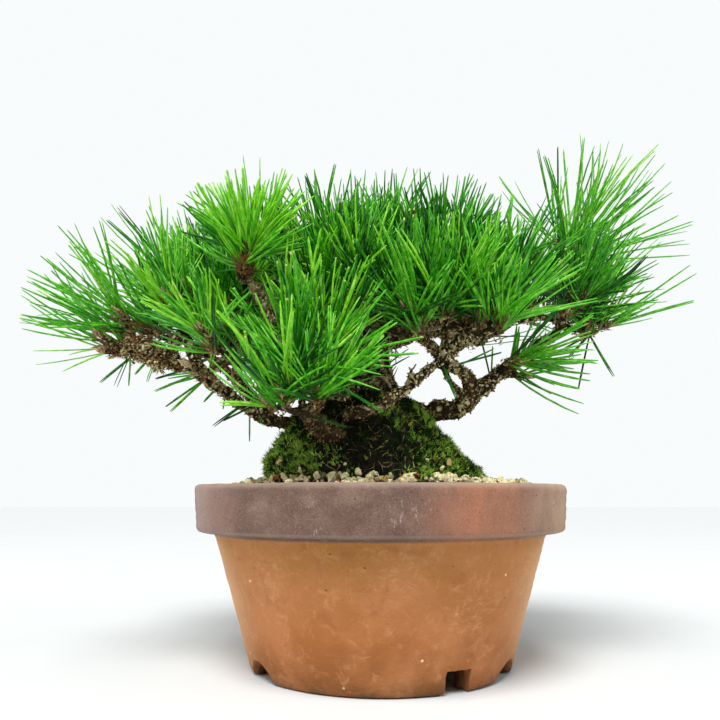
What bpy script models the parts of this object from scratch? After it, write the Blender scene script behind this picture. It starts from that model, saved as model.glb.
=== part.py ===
"""Japanese black pine bonsai in a shallow round training pot.

The object stands on the pot's foot, centred on the pot's axis, +X to the viewer's right, -Y to
the front and +Z up. Every size below is in millimetres and is scaled to metres as it is meshed.
"""

import math
import random

import bmesh
import bpy
import numpy as np
from mathutils import Matrix

MM = 0.001
CLEARANCE = 0.3

# The pot, turned about its own axis.
POT_STEPS = 44
SOIL_STEPS = 32
RIM_RADIUS = 75
RIM_HEIGHT = 70
BAND_HEIGHT = 18
BAND_FOOT_RADIUS = 73.6
BODY_RADIUS = 66.4
FOOT_RADIUS = 51
FOOT_RING_INNER_RADIUS = 43
FOOT_RECESS = 8.5
FLOOR_HEIGHT = 14.5
FLOOR_RADIUS = 45
SHOULDER_INNER_RADIUS = 62
RIM_INNER_RADIUS = 66
DRAIN_RADIUS = 10
EDGE_ROUND = 1.5

# Notches through the foot ring: azimuth in degrees, width and height, and whether it is arched.
FOOT_NOTCHES = ((213, 18, 7, True), (300, 10, 8, False), (333, 18, 7, True), (93, 18, 7, True))
NOTCH_DEPTH = 26

# The soil that fills the pot, and the mossy mound round the trunk's foot.
SOIL_HEIGHT = 71
SOIL_EDGE_HEIGHT = 66.5
SOIL_FLAT_RADIUS = 52
# Each station of the mound is its height, its radius and how far along X its middle lies.
MOUND_STATIONS = (
    (71.3, 46, -3), (75, 44.5, -3.8), (79, 42, -5), (85, 37.8, -7),
    (91, 33.5, -7.5), (97, 30.5, -7.5), (102, 25, -6.5), (105, 21, -5.5),
)
MOUND_SIDES = 20

# The trunk, from its flat cut at the soil to its tip: x, y, height and radius.
TRUNK_STATIONS = (
    (-3, 0, 71.3, 30),
    (-3, 0, 75, 27),
    (-3, 0, 82, 23.5),
    (-3, 1, 92, 19.5),
    (-4, 2, 103, 16.5),
    (-6, 4, 115, 13.5),
    (-6, 7, 128, 10.5),
    (-2, 9, 141, 8),
    (3, 10, 153, 5.8),
    (5, 10, 162, 3.8),
)
TRUNK_SIDES = 15
ROOT_LOBES = 5
ROOT_LOBE_DEPTH = 0.13
ROOT_FLARE_HEIGHT = 24

# Boughs: parent, share of the parent's length at the foot, radius at foot and tip, and the
# stations that the bough runs through, each as azimuth in degrees, reach and height.
BOUGHS = {
    "bough_left": (
        "trunk", 0.26, (4.6, 2.9),
        ((197, 40, 95.5), (197, 52, 98.5), (196.5, 61, 104), (196, 71, 111), (197.5, 84, 117.5), (198, 98, 122)),
    ),
    "bough_left_mid": ("bough_left", 0.66, (2.7, 2.0), ((198, 78, 120), (198, 80, 126))),
    "bough_left_front": ("bough_left", 0.42, (2.7, 2.0), ((211, 62, 107), (216, 66, 113))),
    "bough_front": ("trunk", 0.22, (5.2, 3.6), ((243, 32, 87), (243, 46, 87.5), (243, 55, 91))),
    "bough_front_centre": ("trunk", 0.38, (3.6, 2.4), ((236, 28, 105), (238, 40, 108))),
    "bough_mid": (
        "trunk", 0.30, (3.6, 2.3),
        ((250, 36, 97), (269, 35.5, 101), (290, 31.5, 108), (312, 31, 115), (314, 30.5, 121), (303, 29, 127)),
    ),
    "bough_right": ("trunk", 0.30, (5.6, 4.2), ((350, 24, 99), (350, 31, 98.5), (351, 40, 102))),
    "bough_right_outer": (
        "bough_right", 0.88, (4.2, 2.6), ((354, 43, 109), (359, 52, 117), (1, 63, 125), (2, 74, 133)),
    ),
    "bough_fork": (
        "bough_right", 0.74, (3.7, 2.3), ((351, 34, 109), (348, 31, 117), (342, 29, 124), (335, 32, 131)),
    ),
    "bough_right_low": ("bough_right_outer", 0.40, (2.5, 1.9), ((350, 54, 115), (345, 57, 115.5))),
    "bough_right_upper": (
        "bough_fork", 0.6, (2.5, 2.2),
        ((356, 36, 128), (5, 44, 134), (7, 57, 140), (7, 66, 149), (5, 75, 158), (4, 80, 165)),
    ),
    "bough_right_top": ("bough_right_upper", 0.30, (2.4, 1.9), ((357, 46, 138), (350, 48, 144))),
    "bough_right_back": (
        "trunk", 0.66, (4.2, 2.4), ((42, 20, 140), (36, 40, 147), (29, 62, 149), (24, 80, 150)),
    ),
    "bough_upper_left": ("trunk", 0.46, (4.0, 2.4), ((214, 32, 119), (220, 52, 131), (221, 62, 141))),
    "bough_centre": ("trunk", 0.60, (3.2, 2.1), ((240, 17, 129), (240, 27, 135))),
    "bough_left_back": ("trunk", 0.55, (4.2, 2.4), ((172, 30, 131), (167, 58, 146), (164, 80, 154))),
    "bough_left_centre": ("bough_left_back", 0.34, (2.5, 1.9), ((183, 46, 133), (186, 54, 135))),
    "bough_left_top": ("bough_left_back", 0.50, (2.5, 1.9), ((166, 46, 150), (165, 48, 156))),
    "bough_crown_left": ("trunk", 0.76, (3.2, 2.1), ((195, 14, 146), (192, 18, 152))),
    "bough_crown_right": ("trunk", 0.80, (3.0, 2.0), ((355, 16, 150), (354, 25, 153))),
    "bough_back": ("trunk", 0.52, (4.0, 2.3), ((92, 26, 131), (92, 42, 146))),
    "bough_back_left": ("trunk", 0.42, (4.4, 2.4), ((136, 28, 113), (138, 52, 126), (139, 68, 135))),
    "bough_back_right": ("trunk", 0.60, (4.0, 2.3), ((72, 22, 136), (58, 44, 144), (51, 60, 144))),
    "bough_back_low": ("trunk", 0.34, (3.8, 2.3), ((100, 28, 102), (100, 48, 108))),
}
CURVE_SPANS = 2

# Masses: the limb that carries each, its pad's centre as azimuth, reach and height, the way its
# shoots face as azimuth and elevation in degrees, the pad's radius, the number of shoots, and the
# needles' length and widest lean from their shoot in degrees.
MASSES = {
    "foliage_left_tip": ("bough_left", (197, 106, 126), (188, 16), 9, 3, 35, 54),
    "foliage_left_mid": ("bough_left_mid", (198, 87, 134), (180, 44), 10, 3, 38, 58),
    "foliage_left_front": ("bough_left_front", (216, 74, 120), (212, 34), 11, 3, 32, 66),
    "foliage_front_low": ("bough_front", (243, 64, 97), (246, 58), 8, 3, 32, 76),
    "foliage_front_centre": ("bough_front_centre", (238, 50, 116), (243, 76), 12, 4, 38, 62),
    "foliage_centre_front": ("bough_mid", (286, 32, 133), (280, 74), 12, 3, 38, 62),
    "foliage_front_right": ("bough_fork", (311, 50, 134), (314, 66), 13, 3, 36, 62),
    "foliage_right_mid": ("bough_right_outer", (356, 83, 141), (352, 50), 12, 4, 40, 50),
    "foliage_right_low": ("bough_right_low", (344, 62, 117), (342, 28), 4, 2, 26, 72),
    "foliage_right_upper": ("bough_right_upper", (4, 87, 171), (0, 49), 5, 3, 50, 36),
    "foliage_right_top": ("bough_right_top", (346, 57, 149), (345, 66), 11, 3, 38, 60),
    "foliage_right_back": ("bough_right_back", (24, 92, 156), (30, 50), 14, 4, 40, 58),
    "foliage_upper_left": ("bough_upper_left", (222, 68, 148), (215, 80), 5, 2, 30, 66),
    "foliage_centre": ("bough_centre", (238, 34, 144), (240, 74), 13, 3, 38, 62),
    "foliage_left_back": ("bough_left_back", (162, 92, 157), (155, 50), 14, 4, 38, 60),
    "foliage_left_centre": ("bough_left_centre", (186, 62, 145), (190, 64), 12, 3, 38, 60),
    "foliage_left_top": ("bough_left_top", (165, 50, 167), (150, 70), 13, 3, 34, 60),
    "foliage_crown_left": ("bough_crown_left", (190, 20, 162), (205, 80), 13, 3, 38, 60),
    "foliage_crown_right": ("bough_crown_right", (354, 31, 162), (335, 80), 10, 3, 38, 60),
    "foliage_apex": ("trunk", (72, 16, 171), (90, 84), 9, 3, 38, 60),
    "foliage_back": ("bough_back", (92, 54, 155), (92, 60), 15, 4, 42, 62),
    "foliage_back_left": ("bough_back_left", (139, 80, 142), (139, 46), 13, 4, 40, 62),
    "foliage_back_right": ("bough_back_right", (50, 70, 153), (55, 54), 14, 4, 40, 62),
    "foliage_back_low": ("bough_back_low", (100, 59, 116), (100, 36), 12, 3, 36, 66),
}
SHOOT_SPREAD = 0.55
PAD_DOME = 0.35
HUB_DEPTH = 0.5
UPWARD_LIFT = 0.12
GOLDEN_ANGLE = math.radians(137.5)
UP = np.array([0, 0, 1.0])

# A shoot is a slim twenty-faced core, and needles are drawn out of its faces.
CORE_RADIUS = 2.1
CORE_STRETCH = 1.9
TWIG_RADII = (1.5, 1.1)
NEEDLE_TIP = 0.26
SHORTEST_NEEDLE = 0.55
WIDEST_FACE = 1.8
NEEDLE_TRIES = 5
NEEDLE_GAP = 1.9
LINE_STEPS = 16
OWN_ROOM = 2.6
LIMB_ROOM = 1.4

# How far the crown reaches from the pot's axis, and its top.
REACH = (139.5, 92, 227)


def clear_scene():
    for item in list(bpy.data.objects):
        bpy.data.objects.remove(item, do_unlink=True)


def plain_material(name, colour, roughness):
    made = bpy.data.materials.new(name)
    made.use_nodes = True
    surface = made.node_tree.nodes["Principled BSDF"]
    surface.inputs["Base Color"].default_value = (*colour, 1)
    surface.inputs["Roughness"].default_value = roughness
    surface.inputs["Metallic"].default_value = 0
    made.diffuse_color = (*colour, 1)
    return made


def add_object(name, bm, material=None, collection=None):
    """Scale a millimetre mesh to metres and put it in the scene."""
    bmesh.ops.scale(bm, vec=(MM, MM, MM), verts=bm.verts)
    mesh = bpy.data.meshes.new(name)
    bm.to_mesh(mesh)
    bm.free()
    made = bpy.data.objects.new(name, mesh)
    (collection or bpy.context.scene.collection).objects.link(made)
    if material:
        mesh.materials.append(material)
    return made


def cutter_collection(name):
    made = bpy.data.collections.new(name)
    made.hide_render = True
    bpy.context.scene.collection.children.link(made)
    return made


def bake(item):
    """Replace an object's mesh by what its modifiers make of it."""
    settled = item.evaluated_get(bpy.context.evaluated_depsgraph_get())
    mesh = bpy.data.meshes.new_from_object(settled)
    item.modifiers.clear()
    item.data = mesh


def drop_collection(collection):
    for item in list(collection.objects):
        bpy.data.objects.remove(item, do_unlink=True)
    bpy.data.collections.remove(collection)


def combine(item, operation, collection, solver="EXACT"):
    """Apply one Boolean of an object with all that a collection holds, and remove the collection."""
    for other in collection.objects:
        other.display_type = "WIRE"
    modifier = item.modifiers.new(operation.lower(), "BOOLEAN")
    modifier.operation = operation
    modifier.operand_type = "COLLECTION"
    modifier.collection = collection
    modifier.solver = solver
    bake(item)
    drop_collection(collection)


def turn(name, profile, steps, material):
    """Turn a profile of radius and height about the upright axis."""
    bm = bmesh.new()
    points = [bm.verts.new((radius, 0, height)) for radius, height in profile]
    for start, end in zip(points, points[1:]):
        bm.edges.new((start, end))
    if profile[0][0] > 0:
        bm.edges.new((points[-1], points[0]))
    made = add_object(name, bm, material)
    screw = made.modifiers.new("turn", "SCREW")
    screw.axis = "Z"
    screw.steps = steps
    screw.render_steps = steps
    screw.use_merge_vertices = True
    screw.merge_threshold = 0.00001
    bake(made)
    return made


def loft(name, rings, material=None, collection=None):
    """Skin a closed body through rings of points, with flat ends."""
    bm = bmesh.new()
    loops = [[bm.verts.new(point) for point in ring] for ring in rings]
    sides = len(loops[0])
    for low, high in zip(loops, loops[1:]):
        for k in range(sides):
            after = (k + 1) % sides
            bm.faces.new((low[k], low[after], high[after]))
            bm.faces.new((low[k], high[after], high[k]))
    bm.faces.new(loops[0][::-1])
    bm.faces.new(loops[-1])
    return add_object(name, bm, material, collection)


def tube(name, line, radii, resolution, material=None, collection=None):
    """A tapering limb along a line of points, as a bevelled curve with filled ends."""
    curve = bpy.data.curves.new(name, "CURVE")
    curve.dimensions = "3D"
    curve.bevel_depth = MM
    curve.bevel_resolution = resolution
    curve.use_fill_caps = True
    spline = curve.splines.new("POLY")
    spline.points.add(len(line) - 1)
    for point, place, radius in zip(spline.points, line, radii):
        point.co = (*(place * MM), 1)
        point.radius = radius
    drawn = bpy.data.objects.new(name + "_curve", curve)
    bpy.context.scene.collection.objects.link(drawn)
    settled = drawn.evaluated_get(bpy.context.evaluated_depsgraph_get())
    mesh = bpy.data.meshes.new_from_object(settled)
    mesh.name = name
    mesh.transform(drawn.matrix_world)
    bpy.data.objects.remove(drawn, do_unlink=True)
    bm = bmesh.new()
    bm.from_mesh(mesh)
    bmesh.ops.remove_doubles(bm, verts=bm.verts, dist=MM * 0.001)
    bmesh.ops.recalc_face_normals(bm, faces=bm.faces)
    bm.to_mesh(mesh)
    bm.free()
    mesh.materials.clear()
    made = bpy.data.objects.new(name, mesh)
    (collection or bpy.context.scene.collection).objects.link(made)
    if material:
        mesh.materials.append(material)
    return made


def polar(azimuth, reach, height):
    turned = math.radians(azimuth)
    return np.array([reach * math.cos(turned), reach * math.sin(turned), height])


def facing(azimuth, elevation):
    lift = math.radians(elevation)
    return polar(azimuth, math.cos(lift), math.sin(lift))


def unit(vector):
    return vector / np.linalg.norm(vector)


def side_axes(axis):
    """Two directions square to an axis and to each other."""
    helper = (0.31, 0.17, 0.93) if abs(axis[2]) < 0.9 else (1, 0, 0)
    across = unit(np.cross(axis, helper))
    return across, np.cross(axis, across)


def smooth(stations, spans):
    """A Catmull-Rom curve through the stations, with equal spans between them."""
    ends = 2 * stations[0] - stations[1], 2 * stations[-1] - stations[-2]
    padded = np.vstack([ends[0], stations, ends[1]])
    line = []
    for a, b, c, d in zip(padded, padded[1:], padded[2:], padded[3:]):
        for k in range(spans):
            t = k / spans
            line.append(b + 0.5 * t * (c - a + t * (2 * a - 5 * b + 4 * c - d + t * (3 * (b - c) + d - a))))
    return np.array([*line, stations[-1]])


def run_along(line):
    return np.concatenate([[0], np.cumsum(np.linalg.norm(np.diff(line, axis=0), axis=1))])


def point_at(line, share):
    run = run_along(line)
    return np.array([np.interp(share * run[-1], run, line[:, k]) for k in range(3)])


def plan_limbs():
    """Each limb's centre line and its radius at every point of it."""
    stations = np.array(TRUNK_STATIONS, float)
    course = smooth(stations, 2)
    plan = {"trunk": (course[:, :3], course[:, 3])}
    for name, (parent, share, radii, route) in BOUGHS.items():
        foot = point_at(plan[parent][0], share)
        line = smooth(np.array([foot, *(polar(*station) for station in route)]), CURVE_SPANS)
        run = run_along(line)
        plan[name] = (line, np.interp(run / run[-1], (0, 1), radii))
    return plan


def limb_samples(plan):
    """Points close together along every limb, with the limb's radius at each."""
    places, radii = [], []
    for line, girth in plan.values():
        run = run_along(line)
        steps = np.linspace(0, run[-1], int(run[-1] / 2) + 2)
        places.append(np.stack([np.interp(steps, run, line[:, k]) for k in range(3)], 1))
        radii.append(np.interp(steps, run, girth))
    return np.vstack(places), np.concatenate(radii)


def mass_spine(name):
    """The line that a mass is gathered round: its hub and the middle of its needles."""
    _, centre, way, radius, _, length, _ = MASSES[name]
    middle, axis = polar(*centre), facing(*way)
    return middle - HUB_DEPTH * radius * axis, middle + 0.5 * length * axis


def distance_to_spine(points, spine):
    start, end = spine
    along = np.clip((points - start) @ (end - start) / ((end - start) @ (end - start)), 0, 1)
    return np.linalg.norm(points - start - along[:, None] * (end - start), axis=1)


def room_at(name, points, samples):
    """Whether each point lies in the mass's own space, clear of the limbs, mound and pot."""
    own = distance_to_spine(points, mass_spine(name))
    others = np.min([distance_to_spine(points, mass_spine(other)) for other in MASSES if other != name], axis=0)
    places, radii = samples
    limb = np.min(np.linalg.norm(points[:, None] - places[None], axis=2) - radii, axis=1)
    heights, widths, middles = zip(*MOUND_STATIONS)
    off = np.hypot(points[:, 0] - np.interp(points[:, 2], heights, middles), points[:, 1])
    mound = off - np.interp(points[:, 2], heights, widths, right=0)
    clear_of_pot = (points[:, 2] > RIM_HEIGHT + 3) | (np.hypot(points[:, 0], points[:, 1]) > RIM_RADIUS + 2)
    within = np.all(np.abs(points[:, :2]) < REACH[:2], axis=1) & (points[:, 2] < REACH[2])
    return (others - own > OWN_ROOM) & (limb > LIMB_ROOM) & (mound > 2) & clear_of_pot & within


def plan_shoots(name):
    """Each shoot's foot on the mass's pad and the way that it points."""
    _, centre, way, radius, count, _, _ = MASSES[name]
    rng = random.Random(name)
    middle, axis = polar(*centre), facing(*way)
    across, along = side_axes(axis)
    phase = rng.uniform(0, 2 * math.pi)
    shoots = []
    for k in range(count):
        turned = phase + k * GOLDEN_ANGLE + rng.uniform(-0.2, 0.2)
        share = math.sqrt((k + 0.5) / count)
        outward = math.cos(turned) * across + math.sin(turned) * along
        foot = middle + share * radius * outward - PAD_DOME * radius * share**2 * axis
        shoots.append((foot, unit(axis + SHOOT_SPREAD * share * outward + UPWARD_LIFT * UP)))
    return shoots


def aim_needle(name, root, tilt, turned, axes, samples, taken, rng):
    """A needle's tip, turned a little where its first way is taken, or None where it has no room."""
    out, side, axis = axes
    length = MASSES[name][5] * rng.uniform(0.86, 1)
    steps = np.linspace(0.1, 1, LINE_STEPS)
    for attempt in range(NEEDLE_TRIES):
        lean = tilt + attempt * rng.uniform(-0.1, 0.1)
        turn = turned + attempt * rng.uniform(-0.15, 0.15)
        way = math.cos(lean) * axis + math.sin(lean) * (math.cos(turn) * out + math.sin(turn) * side)
        line = root + steps[:, None] * length * way
        free = room_at(name, line, samples)
        if taken:
            free &= np.min([distance_to_spine(line, spine) for spine in taken], axis=0) > NEEDLE_GAP
        kept = 1 if free.all() else steps[max(np.argmin(free) - 1, 0)]
        if kept >= SHORTEST_NEEDLE:
            return root + kept * length * way
    return None


def add_spray(name, foot, axis, samples, taken, rng, collection):
    """A shoot's core, with a needle drawn out of each face that looks outward and has room."""
    lean = math.radians(MASSES[name][6])
    across, along = side_axes(axis)
    phase = rng.uniform(0, 2 * math.pi)
    out = math.cos(phase) * across + math.sin(phase) * along
    side = np.cross(axis, out)
    frame = np.stack([out, side, axis * CORE_STRETCH], 1) * CORE_RADIUS
    middle = foot + 0.8 * CORE_RADIUS * CORE_STRETCH * axis
    bm = bmesh.new()
    bmesh.ops.create_icosphere(bm, subdivisions=1, radius=1)
    count = 0
    for face in list(bm.faces):
        place = np.array(face.calc_center_median())
        down = math.acos(place[2] / np.linalg.norm(place))
        if down > WIDEST_FACE:
            continue
        tilt = lean * (down / WIDEST_FACE) ** 1.5
        turned = math.atan2(place[1], place[0])
        root = middle + frame @ place
        tip = aim_needle(name, root, tilt, turned, (out, side, axis), samples, taken, rng)
        if tip is None:
            continue
        count += 1
        taken.append((root, tip))
        drawn = bmesh.ops.extrude_discrete_faces(bm, faces=[face])["faces"][0]
        end = np.linalg.solve(frame, tip - middle)
        for vertex in drawn.verts:
            vertex.co = end + NEEDLE_TIP * (np.array(vertex.co) - place)
    for vertex in bm.verts:
        vertex.co = middle + frame @ np.array(vertex.co)
    add_object("spray", bm, None, collection)
    return count


def rod(name, start, end, radii, sides, collection):
    """A straight tapering rod with flat ends."""
    axis = unit(end - start)
    across, along = side_axes(axis)
    rings = []
    for place, radius in ((start, radii[0]), (end, radii[1])):
        turns = [2 * math.pi * k / sides for k in range(sides)]
        rings.append([place + radius * (math.cos(t) * across + math.sin(t) * along) for t in turns])
    return loft(name, rings, None, collection)


def make_pot(material):
    band_foot = RIM_HEIGHT - BAND_HEIGHT
    profile = [
        (RIM_INNER_RADIUS + EDGE_ROUND, RIM_HEIGHT),
        (RIM_RADIUS - EDGE_ROUND, RIM_HEIGHT),
        (RIM_RADIUS - 0.3 * EDGE_ROUND, RIM_HEIGHT - 0.3 * EDGE_ROUND),
        (RIM_RADIUS, RIM_HEIGHT - EDGE_ROUND),
        (BAND_FOOT_RADIUS, band_foot + EDGE_ROUND),
        (BAND_FOOT_RADIUS - EDGE_ROUND, band_foot),
        (BODY_RADIUS, band_foot - 1),
        (FOOT_RADIUS + 0.6, 1),
        (FOOT_RADIUS - 0.4, 0),
        (FOOT_RING_INNER_RADIUS, 0),
        (FOOT_RING_INNER_RADIUS, FOOT_RECESS),
        (DRAIN_RADIUS, FOOT_RECESS),
        (DRAIN_RADIUS, FLOOR_HEIGHT),
        (FLOOR_RADIUS, FLOOR_HEIGHT),
        (SHOULDER_INNER_RADIUS, band_foot),
        (RIM_INNER_RADIUS, RIM_HEIGHT - EDGE_ROUND),
    ]
    pot = turn("pot", profile, POT_STEPS, material)
    notches = cutter_collection("notches")
    for azimuth, width, height, arched in FOOT_NOTCHES:
        bm = bmesh.new()
        if arched:
            half = width / 2
            bmesh.ops.create_cone(bm, cap_ends=True, segments=16, radius1=half, radius2=half, depth=NOTCH_DEPTH)
        else:
            bmesh.ops.create_cube(bm, size=width)
            bmesh.ops.scale(bm, vec=(1, 1, NOTCH_DEPTH / width), verts=bm.verts)
        bmesh.ops.scale(bm, vec=(2 * (height + 1) / width, 1, 1), verts=bm.verts)
        place = Matrix.Rotation(math.radians(azimuth), 4, "Z")
        place = place @ Matrix.Translation((FOOT_RADIUS - 2, 0, -1))
        place = place @ Matrix.Rotation(math.radians(90), 4, "Y")
        bmesh.ops.transform(bm, matrix=place, verts=bm.verts)
        add_object(f"notch_{azimuth}", bm, None, notches)
    combine(pot, "DIFFERENCE", notches)


def make_soil(material):
    """The soil, a clearance off the pot's inner wall and floor."""
    floor = FLOOR_HEIGHT + CLEARANCE
    band_foot = RIM_HEIGHT - BAND_HEIGHT
    edge = np.interp(SOIL_EDGE_HEIGHT, (band_foot, RIM_HEIGHT), (SHOULDER_INNER_RADIUS, RIM_INNER_RADIUS))
    profile = [
        (0, SOIL_HEIGHT),
        (SOIL_FLAT_RADIUS, SOIL_HEIGHT),
        (0.5 * (SOIL_FLAT_RADIUS + edge), 0.3 * SOIL_HEIGHT + 0.7 * SOIL_EDGE_HEIGHT),
        (edge - CLEARANCE, SOIL_EDGE_HEIGHT),
        (SHOULDER_INNER_RADIUS - CLEARANCE, band_foot),
        (FLOOR_RADIUS - CLEARANCE, floor),
        (0, floor),
    ]
    turn("soil", profile, SOIL_STEPS, material)


def trunk_rings(grown):
    """Level rings up the trunk, lobed by the root flare at its foot, grown outward by a margin."""
    rings = []
    line, girth = plan_limbs()["trunk"]
    for (x, y, height), radius in zip(line, girth):
        flare = max(0, 1 - (height - line[0][2]) / ROOT_FLARE_HEIGHT)
        ring = []
        for k in range(TRUNK_SIDES):
            turned = 2 * math.pi * k / TRUNK_SIDES
            lobe = 1 + ROOT_LOBE_DEPTH * flare * math.cos(ROOT_LOBES * turned + 0.8)
            reach = radius * lobe + grown
            ring.append((x + reach * math.cos(turned), y + reach * math.sin(turned), height))
        rings.append(ring)
    if grown:
        rings.insert(0, [(x, y, height - 4 * CLEARANCE) for x, y, height in rings[0]])
        rings.append([(x, y, height + CLEARANCE) for x, y, height in rings[-1]])
    return rings


def make_trunk(material):
    loft("trunk", trunk_rings(0), material)


def grown_limb(name, plan, collection):
    """A limb with a clearance all round, to cut its neighbours with."""
    if name == "trunk":
        return loft("trunk_room", trunk_rings(1.3 * CLEARANCE), None, collection)
    line, girth = plan[name]
    return tube(name + "_room", line, girth + 1.1 * CLEARANCE, 2, None, collection)


def lie_close(plan, name, other):
    """Whether two limbs come within a few clearances of each other."""
    places, radii = limb_samples({name: plan[name]})
    others, other_radii = limb_samples({other: plan[other]})
    gaps = np.linalg.norm(places[:, None] - others[None], axis=2) - radii[:, None] - other_radii[None]
    return gaps.min() < 3 * CLEARANCE


def make_boughs(plan, material):
    """The boughs, each cut clear of the trunk and of the boughs made before it."""
    for name in BOUGHS:
        line, girth = plan[name]
        bough = tube(name, line, girth, 2 if girth[0] > 3.9 else 1, material)
        room = cutter_collection("room")
        for earlier in plan:
            if earlier == name:
                break
            if lie_close(plan, name, earlier):
                grown_limb(earlier, plan, room)
        combine(bough, "DIFFERENCE", room)


def make_mound(plan, material):
    """The mossy mound, cut clear of the trunk and of the boughs that come out of it."""
    rng = random.Random(5)
    waves = [(k, rng.uniform(0, 2 * math.pi), rng.uniform(0.01, 0.028)) for k in (2, 3, 5, 7)]
    rings = []
    for level, (height, radius, x) in enumerate(MOUND_STATIONS):
        ring = []
        for k in range(MOUND_SIDES):
            turned = 2 * math.pi * k / MOUND_SIDES
            wave = sum(depth * math.sin(n * turned + phase + 0.6 * level) for n, phase, depth in waves)
            reach = radius * (1 + wave)
            ring.append((x + reach * math.cos(turned), reach * math.sin(turned), height))
        rings.append(ring)
    mound = loft("moss_mound", rings, material)
    room = cutter_collection("room")
    top = MOUND_STATIONS[-1][0]
    for name, (line, girth) in plan.items():
        if min(line[:, 2] - girth) < top + CLEARANCE:
            grown_limb(name, plan, room)
    combine(mound, "DIFFERENCE", room)


def make_mass(name, plan, samples, material):
    """One mass of needles, joined into a single body on the stem that meets its limb's tip."""
    rng = random.Random(name)
    limb = MASSES[name][0]
    line, girth = plan[limb]
    hub = mass_spine(name)[0]
    onward = UP if limb == "trunk" else unit(line[-1] - line[-2])
    foot = line[-1] + CLEARANCE * onward
    parts = cutter_collection("parts")
    knee = foot + 2.5 * onward
    course = np.array([foot, knee, hub])
    stem = tube(name, course, (girth[-1], 0.9 * girth[-1], 1.3 * TWIG_RADII[0]), 1, material)
    fork = hub - 1.5 * unit(hub - knee)
    count = 0
    taken = []
    for place, axis in plan_shoots(name):
        rod("twig", fork, place + CORE_RADIUS * axis, TWIG_RADII, 3, parts)
        count += add_spray(name, place, axis, samples, taken, rng, parts)
    combine(stem, "UNION", parts, "MANIFOLD")
    return count


def main():
    clear_scene()
    clay = plain_material("clay", (0.56, 0.24, 0.13), 0.85)
    soil = plain_material("soil", (0.33, 0.25, 0.17), 0.95)
    moss = plain_material("moss", (0.10, 0.20, 0.03), 0.95)
    bark = plain_material("bark", (0.20, 0.13, 0.08), 0.9)
    needles = plain_material("needles", (0.09, 0.30, 0.04), 0.5)
    plan = plan_limbs()
    samples = limb_samples(plan)
    make_pot(clay)
    make_soil(soil)
    make_trunk(bark)
    make_boughs(plan, bark)
    make_mound(plan, moss)
    total = sum(make_mass(name, plan, samples, needles) for name in MASSES)
    print("needles", total)


main()
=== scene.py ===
import math
import random

import bpy
import numpy as np
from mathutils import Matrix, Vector, noise


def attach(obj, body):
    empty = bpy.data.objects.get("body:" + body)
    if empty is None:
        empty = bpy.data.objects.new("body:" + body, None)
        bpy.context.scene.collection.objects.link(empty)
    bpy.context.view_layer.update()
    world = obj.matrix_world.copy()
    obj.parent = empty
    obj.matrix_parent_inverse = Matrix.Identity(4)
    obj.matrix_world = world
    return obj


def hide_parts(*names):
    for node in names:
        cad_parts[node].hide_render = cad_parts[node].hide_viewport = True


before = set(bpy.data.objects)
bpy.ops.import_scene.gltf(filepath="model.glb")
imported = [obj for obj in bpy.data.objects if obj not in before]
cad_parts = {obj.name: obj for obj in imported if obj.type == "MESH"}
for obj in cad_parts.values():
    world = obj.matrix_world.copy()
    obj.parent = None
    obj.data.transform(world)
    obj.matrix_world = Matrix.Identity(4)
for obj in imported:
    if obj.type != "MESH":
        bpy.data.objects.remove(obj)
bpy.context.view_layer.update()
bpy.ops.object.select_all(action="DESELECT")
mm = 0.001
upward = np.array([0, 0, 1.0])
goldenTurn = math.radians(137.5)    # how far round each shoot or needle stands from the last
noise.seed_set(7)   # its vectors would stray with the time of day otherwise


# small helpers for shapes

def unit(vector):
    return vector / np.linalg.norm(vector)


def units(vectors):
    return vectors / np.linalg.norm(vectors, axis=-1, keepdims=True)


def polar(azimuth, reach, height):
    turned = math.radians(azimuth)
    return np.array([reach * math.cos(turned), reach * math.sin(turned), height])


def facing(azimuth, elevation):
    lift = math.radians(elevation)
    return polar(azimuth, math.cos(lift), math.sin(lift))


def sideAxes(axis):
    helper = (0.31, 0.17, 0.93) if abs(axis[2]) < 0.9 else (1, 0, 0)
    across = unit(np.cross(axis, helper))
    return across, np.cross(axis, across)


def around(turned, across, along):
    # the way that lies so far round from across to along
    return math.cos(turned) * across + math.sin(turned) * along


def smoothRoute(stations, spans):
    # a Catmull-Rom curve through the stations
    padded = np.vstack([2 * stations[0] - stations[1], stations, 2 * stations[-1] - stations[-2]])
    line = []
    for a, b, c, d in zip(padded, padded[1:], padded[2:], padded[3:]):
        for k in range(spans):
            t = k / spans
            line.append(b + 0.5 * t * (c - a + t * (2 * a - 5 * b + 4 * c - d + t * (3 * (b - c) + d - a))))
    return np.array([*line, stations[-1]])


def runAlong(line):
    return np.concatenate([[0], np.cumsum(np.linalg.norm(np.diff(line, axis=0), axis=1))])


def pointAt(line, share):
    run = runAlong(line)
    return np.array([np.interp(share * run[-1], run, line[:, k]) for k in range(3)])


def noiseAt(points, scale, shift=0):
    # smooth noise at each point, from -1 to 1
    return np.array([noise.noise(Vector(p * scale + shift)) for p in points])


def pieceFrom(name, points, faces, finishes, slots=None, smooth=True):
    # one joined mesh from arrays of points in millimetres and of faces
    mesh = bpy.data.meshes.new(name)
    mesh.from_pydata((np.asarray(points) * mm).tolist(), [], faces)
    for finish in finishes:
        mesh.materials.append(finish)
    if slots is not None:
        mesh.polygons.foreach_set("material_index", np.asarray(slots, dtype=np.int32))
    mesh.polygons.foreach_set("use_smooth", np.full(len(mesh.polygons), smooth))
    mesh.update()
    made = bpy.data.objects.new(name, mesh)
    bpy.context.scene.collection.objects.link(made)
    return made


def pointsOf(piece):
    points = np.empty(len(piece.data.vertices) * 3)
    piece.data.vertices.foreach_get("co", points)
    return points.reshape(-1, 3) / mm


def normalsOf(piece):
    normals = np.empty(len(piece.data.vertices) * 3)
    piece.data.vertex_normals.foreach_get("vector", normals)
    return normals.reshape(-1, 3)


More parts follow.
